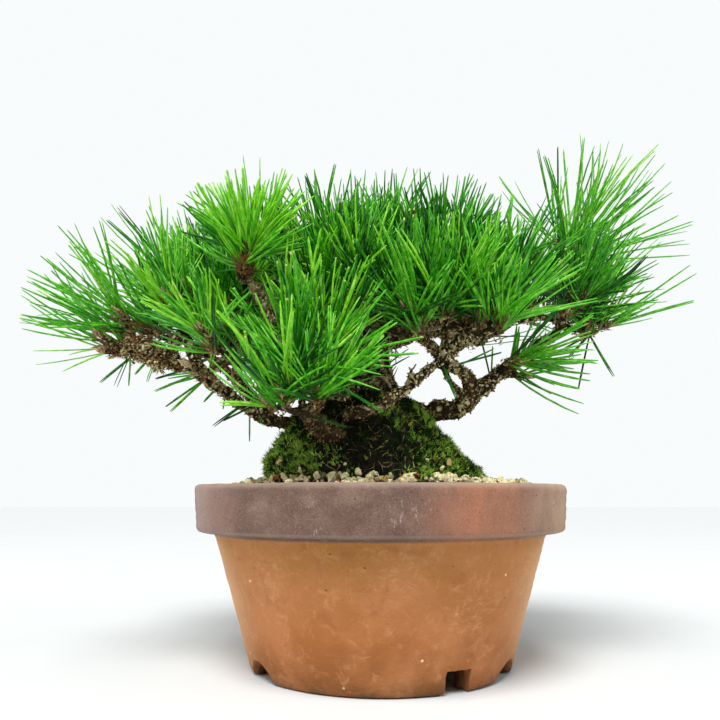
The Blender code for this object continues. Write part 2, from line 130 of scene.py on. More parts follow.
def movePoints(piece, points):
    piece.data.vertices.foreach_set("co", (points * mm).ravel())
    piece.data.update()


def only(piece):
    bpy.ops.object.select_all(action="DESELECT")
    piece.select_set(True)
    bpy.context.view_layer.objects.active = piece


def joinAll(name, pieces):
    only(pieces[0])
    for piece in pieces:
        piece.select_set(True)
    bpy.ops.object.join()
    bpy.context.object.name = name
    bpy.context.object.data.name = name
    return bpy.context.object


def modified(piece, kind, **settings):
    # one modifier, set and applied
    only(piece)
    modifier = piece.modifiers.new(kind, kind)
    for key, value in settings.items():
        setattr(modifier, key, value)
    bpy.ops.object.modifier_apply(modifier=modifier.name)


def smoothed(piece):
    only(piece)
    bpy.ops.object.shade_smooth()
    return piece


def countFaces(piece):
    return sum(len(face.vertices) - 2 for face in piece.data.polygons)


def steady(piece):
    # points and faces in one fixed order, as some edit tools hand them back in another one each time
    points = pointsOf(piece)
    order = np.lexsort(np.round(points, 4).T)
    place = np.empty(len(order), dtype=int)
    place[order] = np.arange(len(order))
    faces = []
    for face in piece.data.polygons:
        corners = [int(place[v]) for v in face.vertices]
        first = corners.index(min(corners))
        faces.append(corners[first:] + corners[:first])
    piece.data.clear_geometry()
    piece.data.from_pydata((points[order] * mm).tolist(), [], sorted(faces))
    piece.data.update()


def tubeFaces(sides, rings):
    # a closed tube's faces: its foot, the quads between one ring and the next, and its end
    faces = [[*range(sides)]]
    for low in range(0, sides * (rings - 1), sides):
        for k in range(sides):
            after = (k + 1) % sides
            faces.append([low + k, low + sides + k, low + sides + after, low + after])
    return [*faces, [sides * rings - 1 - k for k in range(sides)]]


def closeUp(piece):
    # from edit mode: no holes, and every face turned outward
    bpy.ops.mesh.select_all(action="SELECT")
    bpy.ops.mesh.fill_holes(sides=0)
    bpy.ops.mesh.normals_make_consistent(inside=False)
    bpy.ops.object.mode_set(mode="OBJECT")
    steady(piece)


def onSurface(piece, count, seed):
    # places spread evenly over a piece, with the surface's direction there
    mesh = piece.data
    mesh.calc_loop_triangles()
    corners = np.empty(len(mesh.loop_triangles) * 3, dtype=np.int32)
    mesh.loop_triangles.foreach_get("vertices", corners)
    corners = corners.reshape(-1, 3)
    points = pointsOf(piece)
    a, b, c = (points[corners[:, k]] for k in range(3))
    cross = np.cross(b - a, c - a)
    area = np.linalg.norm(cross, axis=1)
    dealt = np.random.default_rng(seed)
    picked = dealt.choice(len(area), count, p=area / area.sum())
    u, v = dealt.random((2, count, 1))
    flip = u + v > 1
    u, v = np.where(flip, 1 - u, u), np.where(flip, 1 - v, v)
    places = a[picked] + u * (b[picked] - a[picked]) + v * (c[picked] - a[picked])
    return places, cross[picked] / area[picked, None], dealt


# small helpers for finishes

class Finish:
    # a material's nodes, with the object's own coordinates; sizes and depths are in millimetres
    def __init__(self, name, roughness, specular=0.5):
        self.material = bpy.data.materials.new(name)
        self.material.use_nodes = True
        self.nodes = self.material.node_tree.nodes
        self.links = self.material.node_tree.links
        self.shader = self.nodes["Principled BSDF"]
        self.shader.inputs["Roughness"].default_value = roughness
        self.shader.inputs["Specular IOR Level"].default_value = specular
        self.place = self.nodes.new("ShaderNodeTexCoord").outputs["Object"]
        self.normal = None

    def node(self, kind, given, **settings):
        # a node with its own settings, and inputs that are either set or linked
        made = self.nodes.new("ShaderNode" + kind)
        for key, value in settings.items():
            setattr(made, key, value)
        for socket, value in given.items():
            if isinstance(value, bpy.types.NodeSocket):
                self.links.new(value, made.inputs[socket])
            else:
                made.inputs[socket].default_value = value
        return made.outputs

    def stretched(self, scale):
        return self.node("Mapping", {"Vector": self.place, "Scale": scale})["Vector"]

    def grain(self, size, detail=4, roughness=0.55, distortion=0, place=None):
        return self.node("TexNoise", {
            "Vector": place or self.place, "Scale": 1 / (size * mm), "Detail": detail,
            "Roughness": roughness, "Distortion": distortion,
        })["Fac"]

    def cells(self, size):
        return self.node("TexVoronoi", {"Vector": self.place, "Scale": 1 / (size * mm)})["Distance"]

    def level(self, axis):
        return self.node("SeparateXYZ", {0: self.place})[axis]

    def fromAxis(self):
        # distance from the upright axis, in the object's own units
        x, y = self.level(0), self.level(1)
        return self.sums("SQRT", self.sums("ADD", self.times(x, x), self.times(y, y)), 0)

    def nearness(self, spot):
        # millimetres from a spot
        away = self.node("VectorMath", {0: self.place, 1: [v * mm for v in spot]}, operation="DISTANCE")
        return self.sums("DIVIDE", away["Value"], mm)

    def attribute(self, name):
        return self.node("Attribute", {}, attribute_name=name)["Fac"]

    def between(self, value, low, high, start=0.0, end=1.0):
        given = {"Value": value, "From Min": low, "From Max": high, "To Min": start, "To Max": end}
        return self.node("MapRange", given, interpolation_type="SMOOTHSTEP")["Result"]

    def sums(self, operation, first, second):
        return self.node("Math", {0: first, 1: second}, operation=operation)[0]

    def times(self, first, second):
        return self.sums("MULTIPLY", first, second)

    def tones(self, value, *stops):
        made = self.nodes.new("ShaderNodeValToRGB")
        ramp = made.color_ramp
        while len(ramp.elements) < len(stops):
            ramp.elements.new(0.5)
        for element, (position, colour) in zip(ramp.elements, stops):
            element.position = position
            element.color = tone(*colour)
        self.links.new(value, made.inputs["Fac"])
        return made.outputs["Color"]

    def mixed(self, value, *pair):
        # from the first colour to the second, each either a colour or another node's
        first, second = (tone(*given) if isinstance(given, tuple) else given for given in pair)
        return self.node("Mix", {0: value, 6: first, 7: second}, data_type="RGBA")[2]

    def colour(self, value):
        self.links.new(value, self.shader.inputs["Base Color"])

    def rough(self, value):
        self.links.new(value, self.shader.inputs["Roughness"])

    def bump(self, value, depth):
        given = {"Height": value, "Distance": depth * mm}
        if self.normal:
            given["Normal"] = self.normal
        self.normal = self.node("Bump", given)["Normal"]
        self.links.new(self.normal, self.shader.inputs["Normal"])


def tone(*chart):
    # a colour as a paint chart gives it, 0 to 255, made linear and opaque
    return (*(((v / 255 + 0.055) / 1.055) ** 2.4 if v > 10 else v / 255 / 12.92 for v in chart), 1)


# small paints: roughness, gloss, the flecks' size, where the dark and light tones stand, and relief
fleckValues = {
    "chip": (0.85, 0.25, 1.2, 0.36, 0.64, 0.1),
    "paper": (0.8, 0.25, 0.9, 0.36, 0.64, 0.08),
    "moss": (0.8, 0.2, 2.2, 0.34, 0.62, 0.1),
}


def fleckedFinish(kind, name, dark, light):
    roughness, gloss, size, low, high, depth = fleckValues[kind]
    paint = Finish(name, roughness, gloss)
    flecks = paint.grain(size, 4, 0.65)
    paint.colour(paint.tones(flecks, (low, dark), (high, light)))
    paint.bump(flecks, depth)
    return paint.material


def fleckedPaints(kind, *charts):
    return [fleckedFinish(kind, *chart) for chart in charts]


# camera, floor and light

viewValues = {
    "back": 300,        # mm from the pot's axis
    "height": 65.6,     # mm, level with the pot's rim
    "lookUp": 0.19,     # radians
    "turnLeft": 0.0269,
    "lens": 35.35,
    "sensor": 36,
    "clip": (0.01, 50),             # m
    "skyLight": 0.44,               # how bright the room is on the tree
    "roomPaint": (0.96, 0.98, 0.98, 1),
    "wallPaint": (0.945, 0.97, 0.975, 1),   # what the camera sees behind it
    # kind, place in m and power
    "lights": {
        "sunLight": ("SUN", (-0.12, -0.62, 1.1), 4.35),
        "leftLight": ("AREA", (-0.95, -0.35, 0.45), 3.2),
        "rightLight": ("AREA", (0.95, -0.3, 0.5), 3.2),
    },
    "sunSpread": 0.5,   # radians
    "lampSize": 0.6,    # m
    "aim": (0, 0, 0.1),
    "floorSize": 8,     # m
    "floorPaints": ((0.3, (201.141, 203.423, 203.423)), (0.7, (203.423, 205.672, 205.672))),
}


def setStage(values):
    scene = bpy.context.scene
    bpy.ops.object.camera_add(
        location=(0, -values["back"] * mm, values["height"] * mm),
        rotation=(math.pi / 2 + values["lookUp"], 0, values["turnLeft"]),
    )
    scene.camera = camera = bpy.context.object
    camera.name = "view"
    camera.data.lens = values["lens"]
    camera.data.sensor_width = values["sensor"]
    camera.data.clip_start, camera.data.clip_end = values["clip"]
    camera.data.dof.use_dof = False

    world = scene.world = bpy.data.worlds.new("paleRoom")
    world.use_nodes = True
    nodes, links = world.node_tree.nodes, world.node_tree.links
    room, wall = nodes["Background"], nodes.new("ShaderNodeBackground")
    room.inputs["Color"].default_value = values["roomPaint"]
    room.inputs["Strength"].default_value = values["skyLight"]
    wall.inputs["Color"].default_value = values["wallPaint"]
    path, both = nodes.new("ShaderNodeLightPath"), nodes.new("ShaderNodeMixShader")
    for k, output in enumerate((path.outputs["Is Camera Ray"], room.outputs[0], wall.outputs[0])):
        links.new(output, both.inputs[k])
    links.new(both.outputs[0], nodes["World Output"].inputs["Surface"])
    scene.view_settings.view_transform = "Standard"

    for name, (kind, place, power) in values["lights"].items():
        bpy.ops.object.light_add(type=kind, location=place)
        light = bpy.context.object
        light.name = name
        light.data.energy = power
        if kind == "SUN":
            light.data.angle = values["sunSpread"]
        else:
            light.data.shape = "DISK"
            light.data.size = values["lampSize"]
        light.rotation_euler = (Vector(values["aim"]) - Vector(place)).to_track_quat("-Z", "Y").to_euler()

    bpy.ops.mesh.primitive_plane_add(size=values["floorSize"], location=(0, 0, -0.0002))
    floor = bpy.context.object
    floor.name = "floor"
    paint = Finish("paleFloor", 0.7, 0.2)
    paint.colour(paint.tones(paint.grain(60, 2), *values["floorPaints"]))
    floor.data.materials.append(paint.material)
    print("stage: camera, floor and three lights")


setStage(viewValues)


# pot

potValues = {
    "sides": 176,
    "height": 70,
    "bandFoot": 52,         # where the thick collar band starts
    "footRadius": 51,
    # radius and height up the outside and over the lip, then down the inside to the drain hole and the foot
    "outside": (
        (43, 0), (48.8, 0), (50, 0.15), (50.7, 0.6), (51.5, 1.6), (65.8, 49.4), (66.5, 50.9), (67.4, 51.7),
        (71.9, 52), (72.9, 52.25), (73.5, 52.9), (73.7, 54), (74.85, 67.4), (74.9, 68.6), (74.4, 69.55),
        (73.5, 70), (67.6, 70), (66.6, 69.5), (66.1, 68.4),
    ),
    "inside": ((66.1, 68.4), (62, 52), (45, 14.5), (10, 14.5), (10, 8.5), (43, 8.5), (43, 0)),
    "steps": (1.7, 5),      # mm between rings of the outside and of the inside
    "warp": 0.35,           # mm that the thrown wall strays from round
    "wear": 0.16,           # mm of unevenness on the outside
    "chipDepth": 1.3,       # mm, along the edges of the band
    "creases": 40,          # degrees at which an edge is sharp
    # azimuth, width and height of each notch in the foot, and whether it is arched
    "notches": ((213, 18, 7, True), (300, 10, 8, False), (333, 18, 7, True), (93, 18, 7, True)),
    "notchDepth": 26,
    # stains, and two painted highlights among the burns: a place in mm, its reach, how strong it is, and its
    # paint
    "blooms": (
        ((29, -47, 29), 17, 0.55), ((-38, -48, 40), 15, 0.4), ((4, -60, 44), 22, 0.35),
        ((50, -30, 38), 16, 0.4), ((-20, 54, 30), 24, 0.6), ((44, 44, 20), 20, 0.5), ((-58, 20, 26), 20, 0.5),
    ),
    "burnsAndSideHighlights": (
        ((35, -63, 60), 31, 0.85, (166, 106, 76)), ((60, -44, 61), 26, 0.85, (158, 126, 106)),
        # the pale marks at (70, -24, 62) and (-70, -24, 62) are painted highlights on the band's sides
        ((-52, 48, 60), 34, 0.8, (156, 90, 62)), ((70, -24, 62), 38, 0.9, (172, 142, 116)),
        ((-70, -24, 62), 48, 0.85, (164, 144, 136)), ((-56, -46, 60), 20, 0.4, (120, 78, 68)),
    ),
    "limes": (
        ((-22, -72, 59), 9), ((9, -74, 62), 12), ((66, -36, 60), 14), ((-30, 68, 60), 16), ((40, 62, 60), 12),
    ),
}


def turnUp(name, profile, sides):
    # a ring of edges is drawn out from station to station of the profile
    radius, height = profile[0]
    bpy.ops.mesh.primitive_circle_add(vertices=sides, radius=radius * mm, location=(0, 0, height * mm))
    piece = bpy.context.object
    bpy.ops.object.transform_apply(location=True, rotation=True, scale=True)
    piece.name = piece.data.name = name
    bpy.ops.object.mode_set(mode="EDIT")
    bpy.ops.mesh.select_all(action="SELECT")
    for nextRadius, nextHeight in profile[1:]:
        bpy.ops.mesh.extrude_region_move()
        share = nextRadius / radius
        bpy.ops.transform.resize(value=(share, share, 1), center_override=(0, 0, 0))
        bpy.ops.transform.translate(value=(0, 0, (nextHeight - height) * mm))
        radius, height = nextRadius, nextHeight
    return piece


def spaced(profile, step):
    # more stations along the long straight runs
    found = [profile[0]]
    for (r0, h0), (r1, h1) in zip(profile, profile[1:]):
        parts = max(1, round(math.hypot(r1 - r0, h1 - h0) / step))
        found += [(r0 + (r1 - r0) * k / parts, h0 + (h1 - h0) * k / parts) for k in range(1, parts + 1)]
    return found


def roughCutter(azimuth, width, height, arched, values):
    depth = values["notchDepth"]
    if arched:
        bpy.ops.mesh.primitive_cylinder_add(vertices=28, radius=width / 2 * mm, depth=depth * mm)
    else:
        bpy.ops.mesh.primitive_cube_add(size=width * mm)
    cutter = bpy.context.object
    bpy.ops.object.mode_set(mode="EDIT")
    bpy.ops.transform.resize(value=(2 * (height + 1) / width, 1, 1 if arched else depth / width))
    if not arched:
        bpy.ops.mesh.subdivide(number_cuts=7)
    bpy.ops.object.mode_set(mode="OBJECT")
    points = pointsOf(cutter)
    for point in points:
        stray = noise.noise_vector(Vector(point * 0.45 + azimuth))
        point += np.array(stray) * (0.35 if arched else 0.75) * (1, 1, 0)
    movePoints(cutter, points)
    cutter.rotation_euler = (0, math.pi / 2, math.radians(azimuth))
    cutter.location = polar(azimuth, values["footRadius"] - 2, -1) * mm
    return cutter


def makePot(values):
    top, bandFoot = values["height"], values["bandFoot"]
    step, insideStep = values["steps"]
    profile = spaced(values["outside"], step) + spaced(values["inside"], insideStep)[1:]
    pot = turnUp("clay_pot", profile, values["sides"])
    bpy.ops.mesh.select_all(action="SELECT")
    bpy.ops.mesh.remove_doubles(threshold=1e-5)
    closeUp(pot)

    # the wall is a little out of round, with turning marks, a worn lip and a few chips
    points = pointsOf(pot)
    turned = np.arctan2(points[:, 1], points[:, 0])
    reach = np.hypot(points[:, 0], points[:, 1])
    height = points[:, 2]
    outer = reach > np.interp(height, (0, 51, 52, 70), (46, 63, 66.5, 68))
    warp = values["warp"] * (np.sin(2 * turned + 0.7) + 0.5 * np.sin(3 * turned + 2.1)) * (height / top)
    marks = 0.10 * np.sin(height * 1.9 + 0.6 * np.sin(turned * 2)) + 0.06 * np.sin(height * 4.3 + turned)
    worn = np.array([noise.fractal(Vector(p * 0.12), 0.8, 2.1, 4) for p in points])
    chips = np.clip(noiseAt(points, (0.22, 0.22, 0.3), 31) - 0.34, 0, 0.6) * values["chipDepth"]
    edge = np.exp(-((height - bandFoot - 0.8) / 0.9) ** 2) + 0.7 * np.exp(-((height - top) / 1.0) ** 2)
    moved = warp + np.where(outer, marks + values["wear"] * worn - chips * edge, 0)
    points[:, :2] *= ((reach + moved) / np.maximum(reach, 1))[:, None]
    points[:, 2] += np.where(outer & (height > top - 1), 0.12 * worn - 0.1, 0)
    movePoints(pot, points)

    for notch in values["notches"]:
        cutter = roughCutter(*notch, values)
        modified(pot, "BOOLEAN", operation="DIFFERENCE", solver="EXACT", object=cutter)
        bpy.data.objects.remove(cutter, do_unlink=True)
        steady(pot)
    only(pot)
    bpy.ops.object.shade_smooth_by_angle(angle=math.radians(values["creases"]))
    return pot


def clayFinish(values):
    clay = Finish("firedClay", 0.82, 0.32)
    height = clay.level(2)
    mottle = clay.grain(26, 5, 0.62)
    blotch = clay.grain(9, 6, 0.7, 0.4)
    dust = clay.grain(1.1, 4, 0.7)
    sand = clay.grain(0.45, 2, 0.6)
    wash = clay.grain(5, 7, 0.72, 0.8)
    scratches = clay.grain(2.4, 9, 0.82, 0.3, clay.stretched((0.7, 0.7, 1.3)))
    streaks = clay.grain(9, 5, 0.6, 0, clay.stretched((1, 1, 0.4)))
    lime = clay.between(clay.grain(1.5, 7, 0.78, 0.3, clay.stretched((1, 1, 0.3))), 0.56, 0.66)

    # body: orange clay, yellower under the band and darker to the foot, with painted highlights on its left
    # and right sides, and soft bloom
    body = clay.tones(
        clay.between(height, 0.0, 0.052),
        (0.0, (132, 78, 34)), (0.3, (160, 98, 48)), (0.72, (166, 106, 56)), (1.0, (166, 112, 52)),
    )
    for share, paint in (
        (clay.between(mottle, 0.38, 0.68, 0.0, 0.6), (186, 124, 78)),
        (clay.between(blotch, 0.50, 0.32, 0.0, 0.45), (146, 82, 40)),
        (clay.between(wash, 0.52, 0.68, 0.0, 0.4), (200, 144, 96)),
        # painted highlights: the body made paler at its left and right sides
        (clay.between(clay.nearness((-66, -6, 30)), 46, 8, 0.0, 0.75), (222, 178, 134)),
        (clay.between(clay.nearness((66, -6, 30)), 46, 8, 0.0, 0.75), (222, 178, 134)),
    ):
        body = clay.mixed(share, body, paint)
    flaked = clay.between(scratches, 0.47, 0.72)
    for spot, reach, share in values["blooms"]:
        bloom = clay.times(clay.between(clay.nearness(spot), reach, 0.2 * reach), flaked)
        body = clay.mixed(clay.times(bloom, share), body, (226, 184, 134))
    specks = clay.between(clay.cells(11), 0.055, 0.03)
    body = clay.mixed(clay.times(specks, 0.8), body, (232, 212, 176))
    footStain = clay.times(clay.between(height, 0.007, 0.0005), clay.between(blotch, 0.4, 0.6))
    body = clay.mixed(clay.times(footStain, 0.6), body, (84, 66, 38))

    # band: purplish ash grey with a fine salt grain, burnt red to the right of the front, with painted
    # highlights on its left and right sides
    band = clay.tones(blotch, (0.30, (84, 60, 51)), (0.5, (101, 77, 66)), (0.70, (122, 99, 86)))
    # burnt marks, and pale painted highlights at the band's left and right sides
    for spot, reach, share, paint in values["burnsAndSideHighlights"]:
        near = clay.between(clay.nearness(spot), reach, 0.1 * reach)
        streaked = clay.between(streaks, 0.25, 0.65, 0.45 * share, share)
        band = clay.mixed(clay.times(near, streaked), band, paint)
    band = clay.mixed(clay.between(sand, 0.52, 0.7, 0.0, 0.22), band, (172, 154, 144))
    for spot, reach in values["limes"]:
        near = clay.between(clay.nearness(spot), reach, 0.2 * reach, 0.0, 0.7)
        band = clay.mixed(clay.times(near, lime), band, (190, 178, 166))
    salt = clay.times(clay.between(clay.grain(0.8, 6, 0.75), 0.56, 0.64), clay.between(streaks, 0.48, 0.62))
    lowEdge = clay.times(clay.between(height, 0.0538, 0.0530), clay.between(height, 0.0520, 0.0526))
    for share, paint in (
        (clay.between(dust, 0.44, 0.30, 0.0, 0.5), (66, 46, 42)),
        (clay.times(salt, 0.14), (186, 174, 160)),
        (clay.times(clay.between(height, 0.0675, 0.0699), 0.5), (160, 142, 126)),
        (clay.times(lowEdge, 0.3), (168, 148, 132)),
    ):
        band = clay.mixed(share, band, paint)

    wander = clay.sums("ADD", height, clay.times(clay.sums("SUBTRACT", blotch, 0.5), 0.0016))
    # painted shade: the pot's underside, the inside of its foot ring and the notches' walls are darkened
    under = clay.times(clay.between(clay.fromAxis(), 0.0503, 0.0485), clay.between(height, 0.0125, 0.011))
    pits = clay.between(clay.cells(6.5), 0.055, 0.028)
    colour = clay.mixed(clay.between(wander, 0.0503, 0.0512), body, band)
    colour = clay.mixed(under, colour, clay.tones(wash, (0.35, (58, 36, 18)), (0.6, (142, 96, 52))))
    colour = clay.mixed(clay.times(pits, 0.7), colour, (60, 38, 28))
    clay.colour(clay.mixed(clay.between(sand, 0.44, 0.28, 0.0, 0.28), colour, (96, 60, 40)))
    clay.rough(clay.between(blotch, 0.3, 0.7, 0.72, 0.92))
    clay.bump(clay.sums("ADD", dust, clay.times(sand, 0.6)), 0.16)
    clay.bump(clay.times(pits, -1), 0.35)
    clay.bump(scratches, 0.12)
    return clay.material


pot = makePot(potValues)
pot.data.materials.append(clayFinish(potValues))
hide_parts("pot")
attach(pot, "root")
print("pot:", countFaces(pot), "triangles")


# the tree's plan: trunk, boughs and masses, in mm

treeValues = {
    # x, y, height and radius up the trunk
    "trunkRoute": (
        (-3, 0, 71.3, 30), (-3, 0, 75, 27), (-3, 0, 82, 23.5), (-3, 1, 92, 19.5), (-4, 2, 103, 16.5),
        (-6, 4, 115, 13.5), (-6, 7, 128, 10.5), (-2, 9, 141, 8), (3, 10, 153, 5.8), (5, 10, 162, 3.8),
    ),
    "trunkSides": 60,
    "rootLobes": 5,
    "rootLobeDepth": 0.13,
    "rootFlareHeight": 24,
    # parent, share along it, radius at foot and tip, and stations as azimuth, reach and height
    "boughs": {
        "bough_left": (
            "trunk", 0.26, (3.2, 2.3),
            (
                (197, 40, 95.5), (197, 52, 98.5), (196.5, 61, 104), (196, 71, 111),
                (197.5, 84, 117.5), (198, 98, 122),
            ),
        ),
        "bough_left_mid": ("bough_left", 0.66, (2.7, 2.0), ((198, 78, 120), (198, 80, 126))),
        "bough_left_front": ("bough_left", 0.42, (2.7, 2.0), ((211, 62, 107), (216, 66, 113))),
        "bough_front": (
            "trunk", 0.22, (4.6, 3.0), ((240, 21, 90), (242, 36, 89), (243, 47, 90.5), (243, 56, 94)),
        ),
        "bough_front_centre": ("trunk", 0.38, (3.6, 2.4), ((236, 28, 105), (238, 40, 108))),
        "bough_mid": (
            "trunk", 0.30, (2.7, 2.1),
            (
                (250, 34, 96), (269, 33, 98.4), (285, 31, 104.5), (299, 29.6, 109.8),
                (313, 30, 115.3), (322, 31, 119.1), (320, 29.7, 123.6), (313, 28.7, 126.5),
                (302, 28.3, 128.8), (293, 29.3, 131.3),
            ),
        ),
        "bough_right": ("trunk", 0.30, (5.0, 3.9), ((349, 26, 100.5), (351, 31, 100.5), (351, 38, 103.3))),
        "bough_right_outer": (
            "bough_right", 0.88, (4.0, 2.6), ((354, 43, 110), (359, 52, 117), (1, 63, 125), (2, 74, 133)),
        ),
        "bough_fork": (
            "bough_right_outer", 0.12, (2.9, 2.6),
            (
                (349, 38, 114), (341, 34.6, 117.2), (331, 31.4, 119.4), (329, 31, 123.8),
                (332, 31.5, 129), (333, 31.7, 133),
            ),
        ),
        "bough_right_low": ("bough_right_outer", 0.30, (2.5, 1.9), ((352, 49, 114.5), (349, 51, 116))),
        "bough_right_upper": (
            "bough_fork", 0.62, (2.5, 2.2),
            (
                (341, 34, 126.3), (354, 38.5, 130.5), (5, 46, 134), (7, 57, 140),
                (7, 66, 149), (5, 75, 158), (4, 80, 165),
            ),
        ),
        "bough_right_top": ("bough_right_upper", 0.30, (2.4, 1.9), ((357, 46, 138), (350, 48, 144))),
        "bough_right_back": (
            "trunk", 0.66, (4.2, 2.4), ((42, 20, 140), (36, 40, 147), (29, 62, 149), (24, 80, 150)),
        ),
        "bough_upper_left": ("trunk", 0.46, (4.0, 2.4), ((214, 32, 119), (220, 52, 132), (221, 62, 144))),
        "bough_centre": ("trunk", 0.60, (3.2, 2.1), ((240, 17, 129), (240, 27, 135))),
        "bough_left_back": ("trunk", 0.55, (4.2, 2.4), ((172, 30, 131), (167, 58, 146), (164, 80, 154))),
        "bough_left_centre": ("bough_left_back", 0.34, (2.5, 1.9), ((183, 46, 133), (186, 54, 135))),
        "bough_left_top": ("bough_left_back", 0.50, (2.5, 1.9), ((166, 46, 150), (165, 48, 156))),
        "bough_crown_left": ("trunk", 0.76, (3.2, 2.1), ((195, 14, 146), (192, 18, 152))),
        "bough_crown_right": ("trunk", 0.80, (3.0, 2.0), ((355, 16, 150), (354, 25, 153))),
        "bough_back": ("trunk", 0.52, (4.0, 2.3), ((92, 26, 131), (92, 42, 146))),
        "bough_back_left": ("trunk", 0.42, (4.4, 2.4), ((136, 28, 113), (138, 52, 126), (139, 68, 135))),
        "bough_back_right": ("trunk", 0.60, (4.0, 2.3), ((72, 22, 136), (58, 44, 144), (51, 60, 144))),
        "bough_back_low": ("trunk", 0.34, (3.8, 2.3), ((100, 28, 102), (100, 48, 108))),
    },
    # small limbs between the boughs, as stations in mm and the radius at both ends
    "strands": {
        "ring": (((36.9, -5, 105.5), (33.3, -8, 108), (29.7, -12, 111.6), (26.4, -17, 115.3)), (1.8, 1.4)),
        "node": (((26, -20, 116.5), (26.5, -18, 121)), (3.5, 3.5)),
        "second": (
            ((27.5, -16, 122.6), (31.1, -14, 125.9), (32.4, -14, 130.1), (32, -15, 134.5)), (3.0, 2.3),
        ),
        "stub": (((12.2, -27, 107), (12.2, -27, 112.4), (13.4, -27, 114.4), (15, -27, 116.8)), (1.2, 0.6)),
        "clump": (
            (
                (-78.9, -23, 116.3), (-84.6, -27, 117.8), (-92.4, -28, 119.4), (-99.8, -30, 121.8),
                (-106.4, -31, 124.7),
            ),
            (2.6, 2.0),
        ),
        "clumpTop": (
            ((-82.7, -27, 119.3), (-88, -30, 123.2), (-94.2, -32, 125.2), (-99, -33, 126.2)), (2.4, 1.9),
        ),
        "clumpSide": (((-81.2, -25, 118.9), (-82.1, -27, 124.2), (-77.8, -29, 127.8)), (2.5, 2.0)),
        "clumpLow": (((-90.7, -27, 119.4), (-86.4, -30, 115.6), (-85.2, -31, 113.8)), (2.3, 1.6)),
        "hidden": (
            (
                (-49.1, -6, 103.5), (-55.9, -9, 109.1), (-63.5, -12, 116.6), (-71.7, -14, 123.5),
                (-78.9, -16, 128.2),
            ),
            (2.4, 2.0),
        ),
    },
    # limb, pad's centre, way it faces, pad's radius, shoots, needle length, widest lean, and tint
    "masses": {
        "foliage_left_tip": ("bough_left", (197, 106, 126), (205, 6), 9, 3, 45, 60, "spring"),
        "foliage_left_mid": ("bough_left_mid", (198, 87, 134), (180, 44), 10, 3, 38, 58, "spring"),
        "foliage_left_front": ("bough_left_front", (216, 74, 120), (212, 34), 11, 3, 32, 66, "spring"),
        "foliage_front_low": ("bough_front", (244, 63, 98.5), (250, 68), 8, 3, 34, 72, "spring"),
        "foliage_front_centre": ("bough_front_centre", (238, 50, 116), (243, 76), 12, 4, 38, 72, "spring"),
        "foliage_centre_front": ("bough_mid", (286, 32, 133), (280, 74), 12, 3, 38, 72, "middle"),
        "foliage_front_right": ("bough_fork", (311, 50, 134), (314, 66), 13, 3, 36, 70, "middle"),
        "foliage_right_mid": ("bough_right_outer", (356, 83, 141), (352, 38), 12, 4, 36, 58, "middle"),
        "foliage_right_low": ("bough_right_low", (349, 54, 115.5), (349, -10), 4, 2, 31, 44, "spring"),
        "foliage_right_upper": ("bough_right_upper", (4, 86, 170), (0, 60), 5, 3, 47, 42, "plume"),
        "foliage_right_top": ("bough_right_top", (346, 57, 149), (345, 66), 11, 3, 38, 68, "middle"),
        "foliage_right_back": ("bough_right_back", (24, 92, 156), (30, 50), 14, 4, 40, 58, "middle"),
        "foliage_upper_left": ("bough_upper_left", (221.6, 69, 147), (200, 86), 2.8, 2, 31, 78, "fresh"),
        "foliage_centre": ("bough_centre", (238, 34, 144), (240, 74), 13, 3, 38, 72, "summer"),
        "foliage_left_back": ("bough_left_back", (162, 92, 157), (155, 50), 14, 4, 38, 60, "spring"),
        "foliage_left_centre": ("bough_left_centre", (186, 62, 145), (190, 64), 12, 3, 38, 70, "summer"),
        "foliage_left_top": ("bough_left_top", (165, 50, 167), (150, 70), 13, 3, 34, 60, "summer"),
        "foliage_crown_left": ("bough_crown_left", (190, 20, 162), (205, 80), 13, 3, 38, 70, "summer"),
        "foliage_crown_right": ("bough_crown_right", (354, 31, 162), (335, 80), 10, 3, 38, 68, "shade"),
        "foliage_apex": ("trunk", (72, 16, 171), (90, 84), 9, 3, 38, 70, "summer"),
        "foliage_back": ("bough_back", (92, 54, 155), (92, 60), 15, 4, 42, 62, "summer"),
        "foliage_back_left": ("bough_back_left", (139, 80, 142), (139, 46), 13, 4, 40, 62, "summer"),
        "foliage_back_right": ("bough_back_right", (50, 70, 153), (55, 54), 14, 4, 40, 62, "summer"),
        "foliage_back_low": ("bough_back_low", (100, 59, 116), (100, 36), 12, 3, 36, 66, "summer"),
    },
    # how round a mass's pad is, and how much its shoots spread and rise
    "padDroop": 0.35,
    "padSpread": 0.55,
    "padLift": 0.12,
    # mm that needles keep off limbs and the mound, and the pot's rim as they pass it: radius and height
    "clear": (0.7, 2.2),
    "rim": (77, 73),
    # height, radius and how far along X the middle lies, up the mossy mound
    "moundRoute": (
        (71.3, 46, -3), (75, 44.5, -3.8), (79, 42, -5), (85, 37.8, -7), (91, 33.5, -7.5), (97, 30.5, -7.5),
        (102, 25, -6.5), (105, 21, -5.5),
    ),
    "middle": -1.2,         # of the whole along X
    "farthest": (137, 90.6, 224.5),     # how far a needle may reach from it along X and Y, and its highest
    "leftmost": -160,       # as seen from the front, on the plane of the pot's axis
}


def moundMiddle(heights):
    # how far along X the mound's middle lies at each height
    levels, _, middles = zip(*treeValues["moundRoute"])
    return np.interp(heights, levels, middles)


def degreesRound(places):
    # from 0 to 360, round the mound's own middle
    return np.degrees(np.arctan2(places[:, 1], places[:, 0] - moundMiddle(places[:, 2]))) % 360


